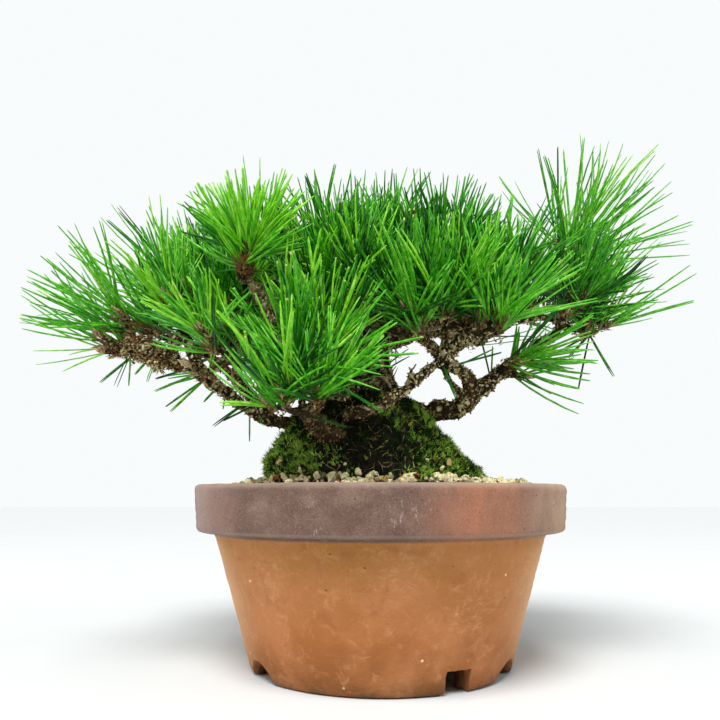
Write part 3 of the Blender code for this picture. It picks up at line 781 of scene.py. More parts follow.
def planLimbs(values):
    course = smoothRoute(np.array(values["trunkRoute"], float), 3)
    plan = {"trunk": (course[:, :3], course[:, 3])}
    for name, (parent, share, radii, route) in values["boughs"].items():
        foot = pointAt(plan[parent][0], share)
        line = smoothRoute(np.array([foot, *(polar(*station) for station in route)]), 5)
        run = runAlong(line)
        plan[name] = (line, np.interp(run / run[-1], (0, 1), radii))
    for name, (route, radii) in values["strands"].items():
        line = smoothRoute(np.array(route, float), 5)
        plan[name] = (line, np.linspace(*radii, len(line)))
    return plan


def evenly(line, radii, count):
    # so many points spaced evenly along a line, and the radius at each
    run = runAlong(line)
    steps = np.linspace(0, run[-1], count(run[-1]))
    return np.stack([np.interp(steps, run, line[:, k]) for k in range(3)], 1), np.interp(steps, run, radii)


def limbSamples(plan):
    evened = [evenly(*limb, lambda length: int(length / 2) + 2) for limb in plan.values()]
    places, radii = zip(*evened)
    return np.vstack(places), np.concatenate(radii)


def massSpine(mass):
    _, centre, way, radius, _, length, _, _ = mass
    middle, axis = polar(*centre), facing(*way)
    return middle - 0.5 * radius * axis, middle + 0.5 * length * axis


def distanceTo(points, spine):
    start, end = spine
    along = np.clip((points - start) @ (end - start) / ((end - start) @ (end - start)), 0, 1)
    return np.linalg.norm(points - start - along[..., None] * (end - start), axis=-1)


def planShoots(name, mass):
    # the source's rule: where each shoot of a mass stands on its pad, and the way it points
    values = treeValues
    _, centre, way, radius, count, _, _, _ = mass
    seeded = random.Random(name)
    middle, axis = polar(*centre), facing(*way)
    across, along = sideAxes(axis)
    phase = seeded.uniform(0, 2 * math.pi)
    shoots = []
    for k in range(count):
        turned = phase + k * goldenTurn + seeded.uniform(-0.2, 0.2)
        share = math.sqrt((k + 0.5) / count)
        outward = around(turned, across, along)
        foot = middle + share * radius * outward - values["padDroop"] * radius * share**2 * axis
        shoots.append((foot, unit(axis + values["padSpread"] * share * outward + values["padLift"] * upward)))
    return shoots


plan = planLimbs(treeValues)
samples = limbSamples(plan)


def hasRoom(name, points, slack):
    # points of shape (needles, steps, 3) that stay in the mass's own space, off limbs, mound and pot
    masses = treeValues["masses"]
    flat = points.reshape(-1, 3)
    own = distanceTo(flat, massSpine(masses[name]))
    others = np.min([distanceTo(flat, massSpine(masses[k])) for k in masses if k != name], axis=0)
    places, radii = samples
    limb = np.full(len(flat), 99.0)
    for place, radius in zip(places, radii):
        limb = np.minimum(limb, np.linalg.norm(flat - place, axis=1) - radius)
    x, y, z = flat.T
    heights, widths, _ = zip(*treeValues["moundRoute"])
    mound = np.hypot(x - moundMiddle(z), y) - np.interp(z, heights, widths, right=0)
    rimReach, rimTop = treeValues["rim"]
    offLimbs, offMound = treeValues["clear"]
    farX, farY, top = treeValues["farthest"]
    within = (np.abs(x - treeValues["middle"]) < farX) & (np.abs(y) < farY) & (z < top)
    within &= x * viewValues["back"] / (y + viewValues["back"]) > treeValues["leftmost"]
    within &= (z > rimTop) | (np.hypot(x, y) > rimReach)
    fits = (others - own > -slack) & (limb > offLimbs) & (mound > offMound) & within
    return fits.reshape(points.shape[:-1])


# trunk and boughs: tubes joined into one skin, then the bark's relief

barkValues = {
    "skin": 0.67,       # mm, the size of the skin's faces
    "wobble": 0.9,      # mm that a limb strays from its line
    "knots": 0.24,      # share that its girth swells and pinches
    "plates": 1.3,      # mm of relief on the trunk
    "flakes": 0.8,      # mm of relief on the boughs
    "chips": 17500,     # loose flakes that stand off the bark
    "chipSize": (0.75, 1.85),       # mm
    "chipWidth": (0.45, 0.9),       # shares of the length
    "chipLift": (0.12, 0.55),       # mm that a flake's end stands off
    "chipShares": (0.2, 0.62, 0.9),     # where the draw passes from one of the four paints to the next
    "bareness": -0.28,              # noise under which the bark has no flakes
}


def limbTube(name, line, radii, values, seed):
    # a curve with its own girth at each point, turned into a mesh
    course, girth = evenly(line, radii, lambda length: max(3, int(length / 1.6)))
    count = len(course)
    bpy.ops.curve.primitive_bezier_curve_add()
    curve = bpy.context.object.data
    curve.splines.clear()
    curve.dimensions = "3D"
    curve.bevel_depth = mm
    curve.bevel_resolution = 3
    curve.use_fill_caps = True
    spline = curve.splines.new("POLY")
    spline.points.add(count - 1)
    for k, (point, place, radius) in enumerate(zip(spline.points, course, girth)):
        spot = Vector(place * 0.16 + seed)
        ease = min(1, k / 3, (count - 1 - k) / 2)
        stray = np.array(noise.noise_vector(spot)) * values["wobble"] * ease
        point.co = (*((place + stray) * mm), 1)
        point.radius = radius * (1 + values["knots"] * noise.noise(spot * 1.7 + Vector((9, 3, 1))) * 1.6)
    bpy.ops.object.convert(target="MESH")
    tube = bpy.context.object
    tube.name = name
    tube.data.transform(tube.matrix_world)
    tube.matrix_world = ((1, 0, 0, 0), (0, 1, 0, 0), (0, 0, 1, 0), (0, 0, 0, 1))
    return tube


def trunkShell(values):
    # level rings up the trunk, lobed at the root flare, joined by bridging
    bpy.ops.object.select_all(action="DESELECT")
    line, girth = plan["trunk"]
    rings = []
    for (x, y, height), radius in zip(line, girth):
        flare = max(0, 1 - (height - line[0][2]) / values["rootFlareHeight"])
        bpy.ops.mesh.primitive_circle_add(vertices=values["trunkSides"], radius=mm, location=(0, 0, 0))
        ring = bpy.context.object
        for vertex in ring.data.vertices:
            turned = math.atan2(vertex.co.y, vertex.co.x)
            lobe = 1 + values["rootLobeDepth"] * flare * math.cos(values["rootLobes"] * turned + 0.8)
            ridge = 1 + 0.05 * math.sin(3 * turned + height * 0.05)
            ridge += 0.035 * math.sin(7 * turned + height * 0.03)
            reach = radius * lobe * ridge
            vertex.co = Vector((x + reach * math.cos(turned), y + reach * math.sin(turned), height)) * mm
        rings.append(ring)
    shell = joinAll("trunkShell", rings)
    bpy.ops.object.mode_set(mode="EDIT")
    bpy.ops.mesh.select_all(action="SELECT")
    bpy.ops.mesh.bridge_edge_loops()
    closeUp(shell)
    return shell


def skinOver(name, tubes, size):
    skin = joinAll(name, tubes)
    modified(skin, "REMESH", mode="VOXEL", voxel_size=size * mm)
    modified(skin, "SMOOTH", factor=0.5, iterations=3)
    return skin


reliefValues = {
    "plateFineness": (0.30, 0.10),  # per mm, on the boughs, and how much less on the trunk
    "crackSharpness": 4.2,
    "flakeFineness": 0.95,
    "flakeSharpness": 3,
    "heights": (0.52, 0.30, 0.20),  # of plates, flakes and grit
    "level": 0.55,                  # the height that stays where the skin was
}


def raiseBark(skin, plates, flakes, values=reliefValues):
    # plates parted by cracks, with thin flakes on them; the height is kept for the finish, which paints shade
    # into the cracks and highlights onto the raised plates
    points, normals = pointsOf(skin), normalsOf(skin)
    stout = np.clip((30 - np.hypot(points[:, 0] + 5, points[:, 1])) / 10, 0, 1)
    fineness, coarser = values["plateFineness"]
    plateHeight, flakeHeight, gritHeight = values["heights"]
    lift = np.empty(len(points))
    for k, (point, thick) in enumerate(zip(points, stout)):
        spot = Vector(point)
        bend = noise.noise_vector(spot * 0.35)
        near, spots = noise.voronoi((spot + bend * 1.2) * (fineness - coarser * thick))
        crack = min(1, (near[1] - near[0]) * values["crackSharpness"])
        own = noise.cell(spots[0] * 7.3)
        fine, _ = noise.voronoi((spot + bend) * values["flakeFineness"])
        flake = min(1, (fine[1] - fine[0]) * values["flakeSharpness"])
        grit = noise.fractal(spot * 1.6, 0.7, 2.2, 3)
        lift[k] = plateHeight * crack * (0.6 + 0.4 * own) + flakeHeight * flake + gritHeight * grit
    depth = flakes + (plates - flakes) * stout
    movePoints(skin, points + normals * ((lift - values["level"]) * depth)[:, None])
    kept = skin.data.attributes.new("relief", "FLOAT", "POINT")
    kept.data.foreach_set("value", np.clip(lift, 0, 1))
    smoothed(skin)


def barkFinish():
    bark = Finish("flakyBark", 0.86, 0.25)
    relief = bark.attribute("relief")
    flecks = bark.grain(1.1, 6, 0.78)
    patches = bark.grain(11, 4, 0.6)
    fibres = bark.grain(0.5, 3, 0.6)
    # tone by relief: the bark's own dark cracks and pale plates, with painted shade deepening the cracks to
    # near black and painted highlights on the highest plates
    base = bark.tones(
        relief, (0.16, (8, 6, 2)), (0.38, (62, 50, 24)), (0.60, (176, 160, 104)), (0.84, (246, 238, 194)),
    )
    warm = bark.mixed(bark.between(patches, 0.46, 0.66, 0.0, 0.4), base, (104, 76, 44))
    light = bark.times(bark.between(flecks, 0.52, 0.66), bark.between(relief, 0.3, 0.6))
    pale = bark.mixed(light, warm, (222, 214, 180))
    dark = bark.mixed(bark.between(flecks, 0.45, 0.33, 0.0, 0.85), pale, (26, 20, 7))
    # the foot of the tree is darker and browner, and the broom stands on a pale stalk
    darkerFoot = bark.between(bark.level(2), 0.103, 0.090, 0.0, 0.8)
    stalk = bark.between(bark.nearness((-43.5, -37, 137)), 15, 8, 0.0, 0.72)
    straw = bark.tones(relief, (0.2, (96, 74, 40)), (0.5, (210, 190, 140)), (0.8, (250, 238, 204)))
    bark.colour(bark.mixed(stalk, bark.mixed(darkerFoot, dark, (52, 38, 18)), straw))
    bark.rough(bark.between(relief, 0.2, 0.8, 0.95, 0.78))
    bark.bump(fibres, 0.14)
    bark.bump(flecks, 0.35)
    return bark.material


def chipArrays(root, way, normal, length, width, lift):
    # small plates: an uneven outline of five corners on the bark and a ridge that stands off it
    across = np.cross(way, normal)
    long, wide = way * length[:, None], across * width[:, None]
    low = root - 0.25 * normal
    corners = [low, low + 0.3 * long + 0.5 * wide, low + 0.85 * long + 0.32 * wide]
    corners += [low + long - 0.18 * wide, low + 0.4 * long - 0.5 * wide]
    ridge = [root + 0.45 * long + lift[:, None] * 0.7 * normal, root + 0.9 * long + lift[:, None] * normal]
    points = np.stack([*corners, *ridge], axis=1)
    first = (np.arange(len(root)) * 7)[:, None]
    faces = ("432", "421", "410", "015", "126", "165", "236", "346", "456", "405")
    faces = [first + np.array([int(corner) for corner in face]) for face in faces]
    return points.reshape(-1, 3), np.concatenate(faces)


def makeChips(bark, values):
    places, ways, dealt = onSurface(bark, values["chips"], 19)
    keep = (places[:, 2] > 76) & (noiseAt(places, 0.22) > values["bareness"])
    places, ways = places[keep], ways[keep]
    count = len(places)
    stray = dealt.normal(size=(count, 3))
    run = units(stray - ways * np.sum(stray * ways, axis=1, keepdims=True))
    low, high = values["chipSize"]
    length = low + (high - low) * dealt.random(count) ** 1.6
    width = length * dealt.uniform(*values["chipWidth"], count)
    points, faces = chipArrays(places, run, ways, length, width, dealt.uniform(*values["chipLift"], count))
    # darker by the foot, paler along the left and right limbs, palest on the broom's stalk
    x, y, z = places.T
    pick = dealt.random(count) + 0.6 * np.clip((103 - z) / 12, 0, 1)
    pick -= np.where(x < -74, 0.2, 0) + np.where((x > 12) & (z > 110), 0.24, 0)
    pick -= np.where((x < -30) & (x > -56) & (y < -25) & (z > 124), 0.45, 0)
    return points, faces.tolist(), np.tile(np.digitize(pick, values["chipShares"]), 10)


def makeBark(values):
    tubes = [trunkShell(treeValues)]
    for k, (name, (line, girth)) in enumerate(plan.items()):
        if name != "trunk":
            tubes.append(limbTube(name + "_tube", line, girth, values, 3.7 * k))
    bark = skinOver("bark", tubes, values["skin"])
    raiseBark(bark, values["plates"], values["flakes"])
    return bark


barkPaint = barkFinish()
bark = makeBark(barkValues)
bark.data.materials.clear()
bark.data.materials.append(barkPaint)
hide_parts("trunk", *treeValues["boughs"])
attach(bark, "root")
print("bark:", countFaces(bark), "triangles")

points, faces, slots = makeChips(bark, barkValues)
chips = pieceFrom("bark_chips", points, faces, fleckedPaints(
    "chip",
    ("chipPale", (200, 190, 142), (250, 244, 208)),
    ("chipTan", (150, 132, 82), (206, 190, 134)),
    ("chipBrown", (92, 68, 34), (150, 118, 68)),
    ("chipDark", (22, 16, 8), (62, 50, 30)),
), slots, smooth=False)
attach(chips, "root")
print("chips:", countFaces(chips), "triangles")


# twigs: from each bough's tip to its shoots, and on into finer ones that carry the needles

twigValues = {
    "skin": 0.6,            # mm, the size of the skin's faces
    "girths": (1.7, 1.4, 1.15, 0.95),   # radii at the hub, a shoot's foot, its side twigs and its tip
    "sideLean": (0.35, 1.05),       # radians that side twigs lean from their shoot
    "sidePlaces": (0.35, 0.85),     # where they stand, as shares of the leader
    "runs": (5.5, 9.5),     # mm, how long a leader or a side twig is
    "sprayRuns": (11, 8),   # mm of a leader and of a side twig that needles cover
    "stray": 0.5,           # how far a spray turns from its twig
    "wobble": 0.4,
    "knots": 0.2,
    "flakes": 0.5,
}


# of each mass: side twigs on each shoot, pairs in each spray, shares of the needles' length, the spray's
# run and the needles' width, and two slopes: the lower a needle points under these, the likelier it goes
habits = {
    "others": (5, 16, 1.0, 1.0, 1.0, -0.75, 0.15),
    "foliage_upper_left": (1, 92, 1.04, 0.4, 1.1, -0.1, 0.3),
    "foliage_front_low": (2, 17, 1.04, 0.6, 1.12, -0.5, 0.2),
    "foliage_front_centre": (3, 17, 1.1, 0.7, 1.12, -0.75, 0.15),
    "foliage_centre_front": (4, 16, 1.08, 0.8, 1.06, -0.75, 0.15),
    "foliage_front_right": (4, 17, 1.08, 0.8, 1.06, -0.75, 0.15),
    "foliage_centre": (4, 16, 1.05, 0.9, 1.0, -0.75, 0.15),
    "foliage_left_tip": (2, 7, 1.14, 1.0, 0.86, -0.4, -0.05),
    "foliage_left_mid": (3, 10, 1.06, 1.0, 0.94, -0.4, 0.1),
    "foliage_left_front": (2, 12, 1.0, 0.8, 1.0, -0.5, 0.2),
    "foliage_left_back": (3, 13, 1.0, 1.0, 1.0, -0.75, 0.15),
    "foliage_right_top": (3, 14, 1.0, 1.0, 1.0, -0.75, 0.15),
    "foliage_right_mid": (3, 11, 1.03, 1.0, 0.94, -0.3, 0.1),
    "foliage_right_low": (1, 6, 1.1, 0.6, 1.15, -0.8, -0.6),
    "foliage_right_upper": (2, 8, 1.1, 0.7, 0.84, -0.2, 0.2),
    "foliage_right_back": (1, 9, 1.0, 1.0, 1.0, -0.75, 0.15),
}


def habitOf(name):
    return habits.get(name, habits["others"])


def strayFrom(seeded, spread=0.6):
    return np.array([seeded.gauss(0, spread) for _ in range(3)])


def growTwigs(values):
    # returns the twigs' lines and the sprays' places: mass, tip, the way it points and its run
    lines, sprays = [], []
    hubGirth, footGirth, sideGirth, tipGirth = values["girths"]
    leaderRun, sideRun = values["sprayRuns"]
    for name, mass in treeValues["masses"].items():
        seeded = random.Random(name + " twigs")
        limb, girth = plan[mass[0]]
        hub = massSpine(mass)[0]
        onward = unit(limb[-1] - limb[-2])
        knee = limb[-1] + 2.5 * onward
        route = smoothRoute(np.array([limb[-1] - 1.5 * onward, knee, hub]), 4)
        lines.append((route, np.linspace(0.95 * girth[-1], hubGirth, len(route))))
        for foot, axis in planShoots(name, mass):
            across, along = sideAxes(axis)
            phase = seeded.uniform(0, 2 * math.pi)
            fork = hub - 1.2 * unit(hub - knee)
            tip = foot + axis * seeded.uniform(*values["runs"]) * 0.9
            route = smoothRoute(np.array([fork, 0.45 * fork + 0.55 * foot - 0.8 * axis, foot, tip]), 4)
            shares = np.linspace(0, 1, len(route))
            lines.append((route, np.interp(shares, (0, 0.66, 1), (hubGirth, footGirth, tipGirth))))
            count, _, _, shorter, *_ = habitOf(name)
            way = unit(axis + 0.5 * values["stray"] * strayFrom(seeded))
            sprays.append((name, tip, way, leaderRun * shorter))
            for k in range(count):
                turned = phase + k * goldenTurn + seeded.uniform(-0.3, 0.3)
                lean = seeded.uniform(*values["sideLean"])
                outward = around(turned, across, along)
                way = unit(around(lean, axis, outward) + 0.15 * upward)
                base = pointAt(route, seeded.uniform(*values["sidePlaces"]))
                end = base + way * seeded.uniform(*values["runs"])
                if not hasRoom(name, np.array([[end, end + 3 * way]]), 6).all():
                    continue
                bow = 0.5 * (base + end) + 0.8 * outward
                side = smoothRoute(np.array([base, bow, end]), 4)
                lines.append((side, np.linspace(sideGirth, tipGirth, len(side))))
                bent = values["stray"] * (0.4 if shorter < 0.5 else 1) * strayFrom(seeded)
                sprays.append((name, end, unit(way + 0.5 * axis + 0.2 * upward + bent), sideRun * shorter))
    return lines, sprays


def makeTwigs(values):
    lines, sprays = growTwigs(values)
    tubes = []
    for k, (line, girth) in enumerate(lines):
        tubes.append(limbTube("twig_tube", line, girth, values, 5.1 + 2.3 * k))
    twigs = skinOver("twigs", tubes, values["skin"])
    raiseBark(twigs, values["flakes"], values["flakes"])
    return twigs, sprays


twigs, sprays = makeTwigs(twigValues)
twigs.data.materials.clear()
twigs.data.materials.append(barkPaint)
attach(twigs, "root")
print("twigs:", countFaces(twigs), "triangles,", len(sprays), "sprays")


# needles: pairs out of a sheath, in sprays along each twig's end

needleValues = {
    "width": 0.93,              # mm
    "shares": (0, 0.25, 0.5, 0.78, 0.978, 1),   # where a needle's rings stand along it
    "girths": (0.8, 1.0, 1.0, 0.92, 0.5, 0.14),         # shares of the width at those rings
    "cutGirths": (0.75, 0.97, 1.0, 0.94, 0.82, 0.74),   # the same on a needle that has been cut
    "lengths": (0.56, 1.06),    # of the mass's own needle length
    "steepest": 0.14,           # radians that the inmost needles lean
    "lift": 0.11,               # how much they turn up to the light
    "tiltStray": 0.2,           # radians that a needle strays from its place in the spray
    "turnStray": 0.6,
    "bends": (0.04, 0.11),      # its mean bend outward, and how much that varies
    "sideBend": 0.09,
    "sag": 0.03,
    "opening": (0.01, 0.11),    # radians that each needle of a pair turns from the other
    "slack": (9, 16),           # mm that needles, and those of the broom, stray into the next mass's space
    "dry": 0.0004,              # share of the pairs that are dry
    "cut": (0.012, 0.09),       # share that has been cut blunt, and that of the trimmed masses
    "sheath": 4.2,              # mm
    # how the sprays of a mass are dealt out among the greens
    "dealt": {
        "fresh": (("fresh", 0.62), ("spring", 0.38)),
        "spring": (("fresh", 0.34), ("spring", 0.48), ("summer", 0.15), ("deep", 0.03)),
        "plume": (("fresh", 0.06), ("spring", 0.56), ("summer", 0.38)),
        "middle": (("fresh", 0.10), ("spring", 0.52), ("summer", 0.31), ("deep", 0.07)),
        "shade": (("fresh", 0.04), ("spring", 0.28), ("summer", 0.46), ("deep", 0.22)),
        "summer": (("fresh", 0.11), ("spring", 0.37), ("summer", 0.37), ("deep", 0.15)),
    },
    "trimmed": ("foliage_front_low", "foliage_front_centre", "foliage_centre_front", "foliage_left_front"),
    # strips left open before a limb or the sky, seen from the front: X and Z at both ends, half width,
    # the depth that needles behind are free from, and the share of those before it that is left out
    "open": (
        (-58.9, 167.2, -51.3, 149.1, 3.8, -40, 0.95), (-48.7, 100, -86.3, 121.1, 3.4, -14, 0.85),
        (-86.4, 122.8, -118.6, 130.6, 4.2, -26, 0.5), (26.5, 124.9, 26.4, 120.5, 5.5, -14, 0.92),
        (32.8, 120, 39.1, 116.1, 3.4, -5, 0.9), (38, 108.3, 54.1, 119.1, 3.8, -3, 0.9),
        (54.1, 119.1, 69.4, 127.3, 3.4, 0, 0.5), (8.2, 108.4, 22.1, 119.7, 3.4, -22, 0.9),
        (23.1, 128.4, 13.7, 136, 3.4, -20, 0.35), (33, 129.7, 34.1, 138.6, 3.4, -13, 0.35),
        (36.1, 131.9, 52.6, 136.2, 2.1, 0, 0.3), (23.8, 100.6, 39.6, 103.6, 4.2, 0, 1),
        (-18.7, 90.1, -26.8, 97.4, 5.1, -42, 0.9), (10.5, 118.8, 14, 123.6, 3.2, 99, 0.92),
        (18.3, 126.3, 20, 122.3, 2.6, 99, 0.92), (22.3, 111.8, 22.5, 111, 5.1, 99, 0.95),
        (17.2, 110.5, 27, 110.1, 2.8, 99, 0.95), (36.8, 126.6, 47.2, 127.4, 3.4, 99, 0.9),
        (42.7, 122.2, 43, 124, 2.1, 99, 0.9), (39.8, 139.9, 39.9, 139.9, 1.7, 99, 0.9),
        (47.5, 138.1, 50.8, 133.1, 2.1, 99, 0.85), (25.8, 134.6, 25.9, 134.5, 1.7, 99, 0.9),
        (95.4, 132.4, 126.9, 127.9, 3.8, 99, 0.9), (-157.4, 117.9, -118.6, 111.5, 3.4, 99, 0.85),
        (61.8, 201.9, 75.6, 200.8, 3.4, 20, 0.9),
    ),
    # lone pairs that stand away from their sprays, from foot to tip
    "lone": (
        (-98, -28, 114, -111, -26, 110), (-92, -28, 116, -97, -26, 113), (-91, -28, 114, -92, -26, 110),
        (-100, -30, 113, -104, -28, 108), (-100, -30, 113, -98, -28, 108), (-75, -24, 115, -90, -22, 112),
        (-72, -24, 113, -90, -22, 107), (-71, -22, 111, -85, -20, 110), (-71, -22, 110, -86, -20, 101),
        (-71, -22, 109, -84, -20, 99), (-66, -20, 107, -71, -18, 103), (-63, -19, 104, -63, -17, 100),
        (-53, -24, 104, -66, -22, 93), (-46, -24, 101, -62, -22, 95), (-52, -18, 99, -52, -16, 87),
        (-44, -18, 99, -48, -16, 94), (88, 0, 138, 84, -2, 110), (88, 0, 138, 99, -2, 115),
        (84, 2, 137, 76, 0, 126), (85, 2, 136, 81, 0, 124), (84, 4, 181, 83, 2, 223.5),
        (110, 2, 177, 133, 0, 187), (82, 4, 180, 74, 3, 223), (-108, -4, 177, -117, -2, 195),
        (-113, -10, 175, -119, -8, 186), (-21, -56, 97, -11, -54, 89), (-10, -50, 101, 1, -48, 95),
        (30, -10, 120, 48, -8, 126), (30, -12, 119, 51, -10, 124),
        (45, -3, 116, 44, -1, 134), (47, -4, 116, 49, -2, 129), (25, -18, 114, 31, -16, 104),
    ),
    "pieces": {
        "needles_left": ("left_tip", "left_mid", "left_front", "left_back", "left_centre", "left_top"),
        "needles_front": (
            "front_low", "front_centre", "centre_front", "front_right", "upper_left", "centre", "crown_left",
        ),
        "needles_right": (
            "right_mid", "right_low", "right_upper", "right_top", "right_back", "crown_right", "apex",
        ),
        "needles_back": ("back", "back_left", "back_right", "back_low"),
    },
}
needleTints = ("fresh", "spring", "summer", "deep", "cut", "dry")


def needleFinish(name, dark, middle, light, roughness, gloss=0.5):
    paint = Finish(name, roughness, gloss)
    streaks = paint.grain(2.6, 4, 0.6)
    patches = paint.grain(14, 2, 0.5)
    both = paint.sums("ADD", paint.times(streaks, 0.7), paint.times(patches, 0.3))
    paint.colour(paint.tones(both, (0.34, dark), (0.5, middle), (0.66, light)))
    paint.rough(paint.between(streaks, 0.3, 0.7, roughness - 0.06, roughness + 0.1))
    paint.bump(paint.grain(0.6, 3, 0.6), 0.05)
    return paint.material


def bentLines(pairs, t):
    # each needle's middle line at the shares t of its length
    run = t * pairs["way"][:, None] + t**2 * pairs["bend"][:, None]
    return pairs["root"][:, None] + pairs["length"][:, None, None] * run


def leftOpen(points, strips, dealt):
    # which needles, of shape (needles, steps, 3), keep out of the strips left open before limbs and sky
    back, level = viewValues["back"], viewValues["height"]
    nearer = back / (points[..., 1] + back)
    x, z = points[..., 0] * nearer, level + (points[..., 2] - level) * nearer
    clear = np.ones(len(points), bool)
    for x0, z0, x1, z1, half, depth, chance in strips:
        run = np.array([x1 - x0, z1 - z0])
        share = np.clip(((x - x0) * run[0] + (z - z0) * run[1]) / (run @ run), 0, 1)
        off = np.hypot(x - x0 - share * run[0], z - z0 - share * run[1])
        crosses = ((off < half) & (points[..., 1] < depth)).any(axis=1)
        clear &= ~(crosses & (dealt.random(len(points)) < chance))
    return clear


def planPairs(values):
    # every pair of needles: where it roots, the way it runs, its bend, length, spread, tint and tip
    keys = ("mass", "root", "way", "bend", "length", "spread", "tint", "blunt", "opening")
    rows = []
    for order, (name, tip, axis, run) in enumerate(sprays):
        seeded = random.Random(f"{name} spray {order}")
        *_, length, lean, season = treeValues["masses"][name]
        across, along = sideAxes(axis)
        phase = seeded.uniform(0, 2 * math.pi)
        names, weights = zip(*values["dealt"][season])
        tint = seeded.choices(names, weights)[0]
        _, full, longer, _, _, low, high = habitOf(name)
        count = full + seeded.randint(-2, 2)
        for k in range(count):
            share = (k + 0.5) / count
            lowest = math.radians(lean) * 1.1
            tilt = values["steepest"] + (lowest - values["steepest"]) * share**0.8
            tilt += seeded.gauss(0, values["tiltStray"])
            turned = phase + k * goldenTurn + seeded.uniform(-values["turnStray"], values["turnStray"])
            outward = around(turned, across, along)
            way = unit(around(tilt, axis, outward) + values["lift"] * upward)
            if way[2] < seeded.uniform(low, high):
                continue
            bend = around(tilt, -outward, axis) * seeded.gauss(*values["bends"])
            bend = bend + seeded.gauss(0, values["sideBend"]) * np.cross(axis, outward)
            bend = bend - values["sag"] * upward * math.sin(tilt)
            spin = seeded.uniform(0, math.pi)
            beside = unit(np.cross(way, axis + 0.01 * across))
            own = seeded.choices(names, weights)[0] if seeded.random() < 0.4 else tint
            # painted shade: needles rooted further back along a spray, which lean out lowest, are often dealt
            # a darker green, save on the plume
            for least in (0.5, 0.75):
                if season != "plume" and share > least and seeded.random() < 0.5:
                    own = {"fresh": "spring", "spring": "summer"}.get(own, "deep")
            rows.append((
                name, tip - run * share**0.8 * axis + 0.7 * outward, way, bend,
                length * longer * seeded.uniform(*values["lengths"]) * (1 - 0.08 * share),
                around(spin, beside, np.cross(way, beside)),
                needleTints.index("dry" if seeded.random() < values["dry"] else own),
                seeded.random() < values["cut"][name in values["trimmed"]],
                seeded.uniform(*values["opening"]),
            ))
    found = {key: np.array(column) for key, column in zip(keys, zip(*rows))}

    # each pair is as long as it has room for, and one with none is skipped
    masses = treeValues["masses"]
    kept = np.zeros(len(found["root"]))
    steps = np.array([0.3, 0.5, 0.7, 0.85, 1.0])[None, :, None]
    for name in masses:
        here = np.flatnonzero(found["mass"] == name)
        mine = {key: found[key][here] for key in ("root", "way", "bend", "length")}
        for part in (0.72, 0.82, 0.91, 1.0):
            line = bentLines(mine, part * steps)
            slack = values["slack"][name == "foliage_upper_left"]
            kept[here[hasRoom(name, line, slack).all(axis=1)]] = part
    found["bend"] *= kept[:, None]
    found["length"] *= kept
    line = bentLines(found, np.linspace(0, 1, 12)[None, :, None])
    room = leftOpen(line, values["open"], np.random.default_rng(14)) | (found["mass"] == "foliage_right_low")
    room &= kept > 0
    found = {key: value[room] for key, value in found.items()}

    # the lone pairs, each rooted in the limb or spray that is nearest to its foot
    seeded = random.Random(77)
    found["sheathed"] = np.ones(len(found["root"]), bool)
    found["girth"] = np.array([habitOf(name)[4] for name in found["mass"]])
    places = np.vstack([samples[0], [tip - 2 * axis for _, tip, axis, _ in sprays]])
    radii = np.concatenate([samples[1], np.full(len(sprays), 1.2)])
    for *seen, x, y, z in values["lone"]:
        foot = places[(np.linalg.norm(places - seen, axis=1) - radii).argmin()]
        run = np.array([x, y, z]) - foot
        way = unit(run)
        nearest = min(masses, key=lambda name: distanceTo(foot, massSpine(masses[name])))
        beside, _ = sideAxes(way)
        own = {
            "mass": nearest, "root": foot, "way": way, "bend": 0.04 * beside, "length": np.linalg.norm(run),
            "spread": beside, "tint": needleTints.index(seeded.choice(("spring", "summer", "deep"))),
            "blunt": False, "opening": seeded.uniform(0.0, 0.03), "sheathed": False, "girth": 0.72,
        }
        found = {key: np.concatenate([value, [own[key]]]) for key, value in found.items()}
    return found


def needleArrays(pairs, values):
    # both needles of each pair: half-round blades on a ring of four corners, flat sides together
    t = np.array(values["shares"])[None, :, None]
    points = []
    for side in (-1, 1):
        out = side * pairs["spread"]
        way = units(pairs["way"] + pairs["opening"][:, None] * out)
        line = bentLines({**pairs, "way": way, "root": pairs["root"] + 0.12 * out}, t)
        run = units(way[:, None] + 2 * t * pairs["bend"][:, None])
        face = units(out[:, None] - run * np.sum(run * out[:, None], axis=2, keepdims=True))
        girth = np.where(pairs["blunt"][:, None], values["cutGirths"], values["girths"])[..., None]
        girth = girth * values["width"] * pairs["girth"][:, None, None]
        across, back = np.cross(run, face) * 0.5 * girth, face * 0.55 * girth
        corners = (-across, across, 0.55 * across + back, -0.55 * across + back)
        points.append(np.stack([line + corner for corner in corners], axis=2))
    points = np.concatenate(points)
    tints, blunt = np.tile(pairs["tint"], 2), np.tile(pairs["blunt"], 2)
    ends = np.where(blunt, needleTints.index("cut"), tints)
    count, rings = points.shape[:2]
    first = (np.arange(count) * rings * 4)[:, None]
    faces = [first + np.array(corners) for corners in tubeFaces(4, rings)]
    slots = [tints] * (4 * rings - 7) + [ends] * 5
    return points.reshape(-1, 3), np.concatenate(faces).tolist(), np.concatenate(slots)


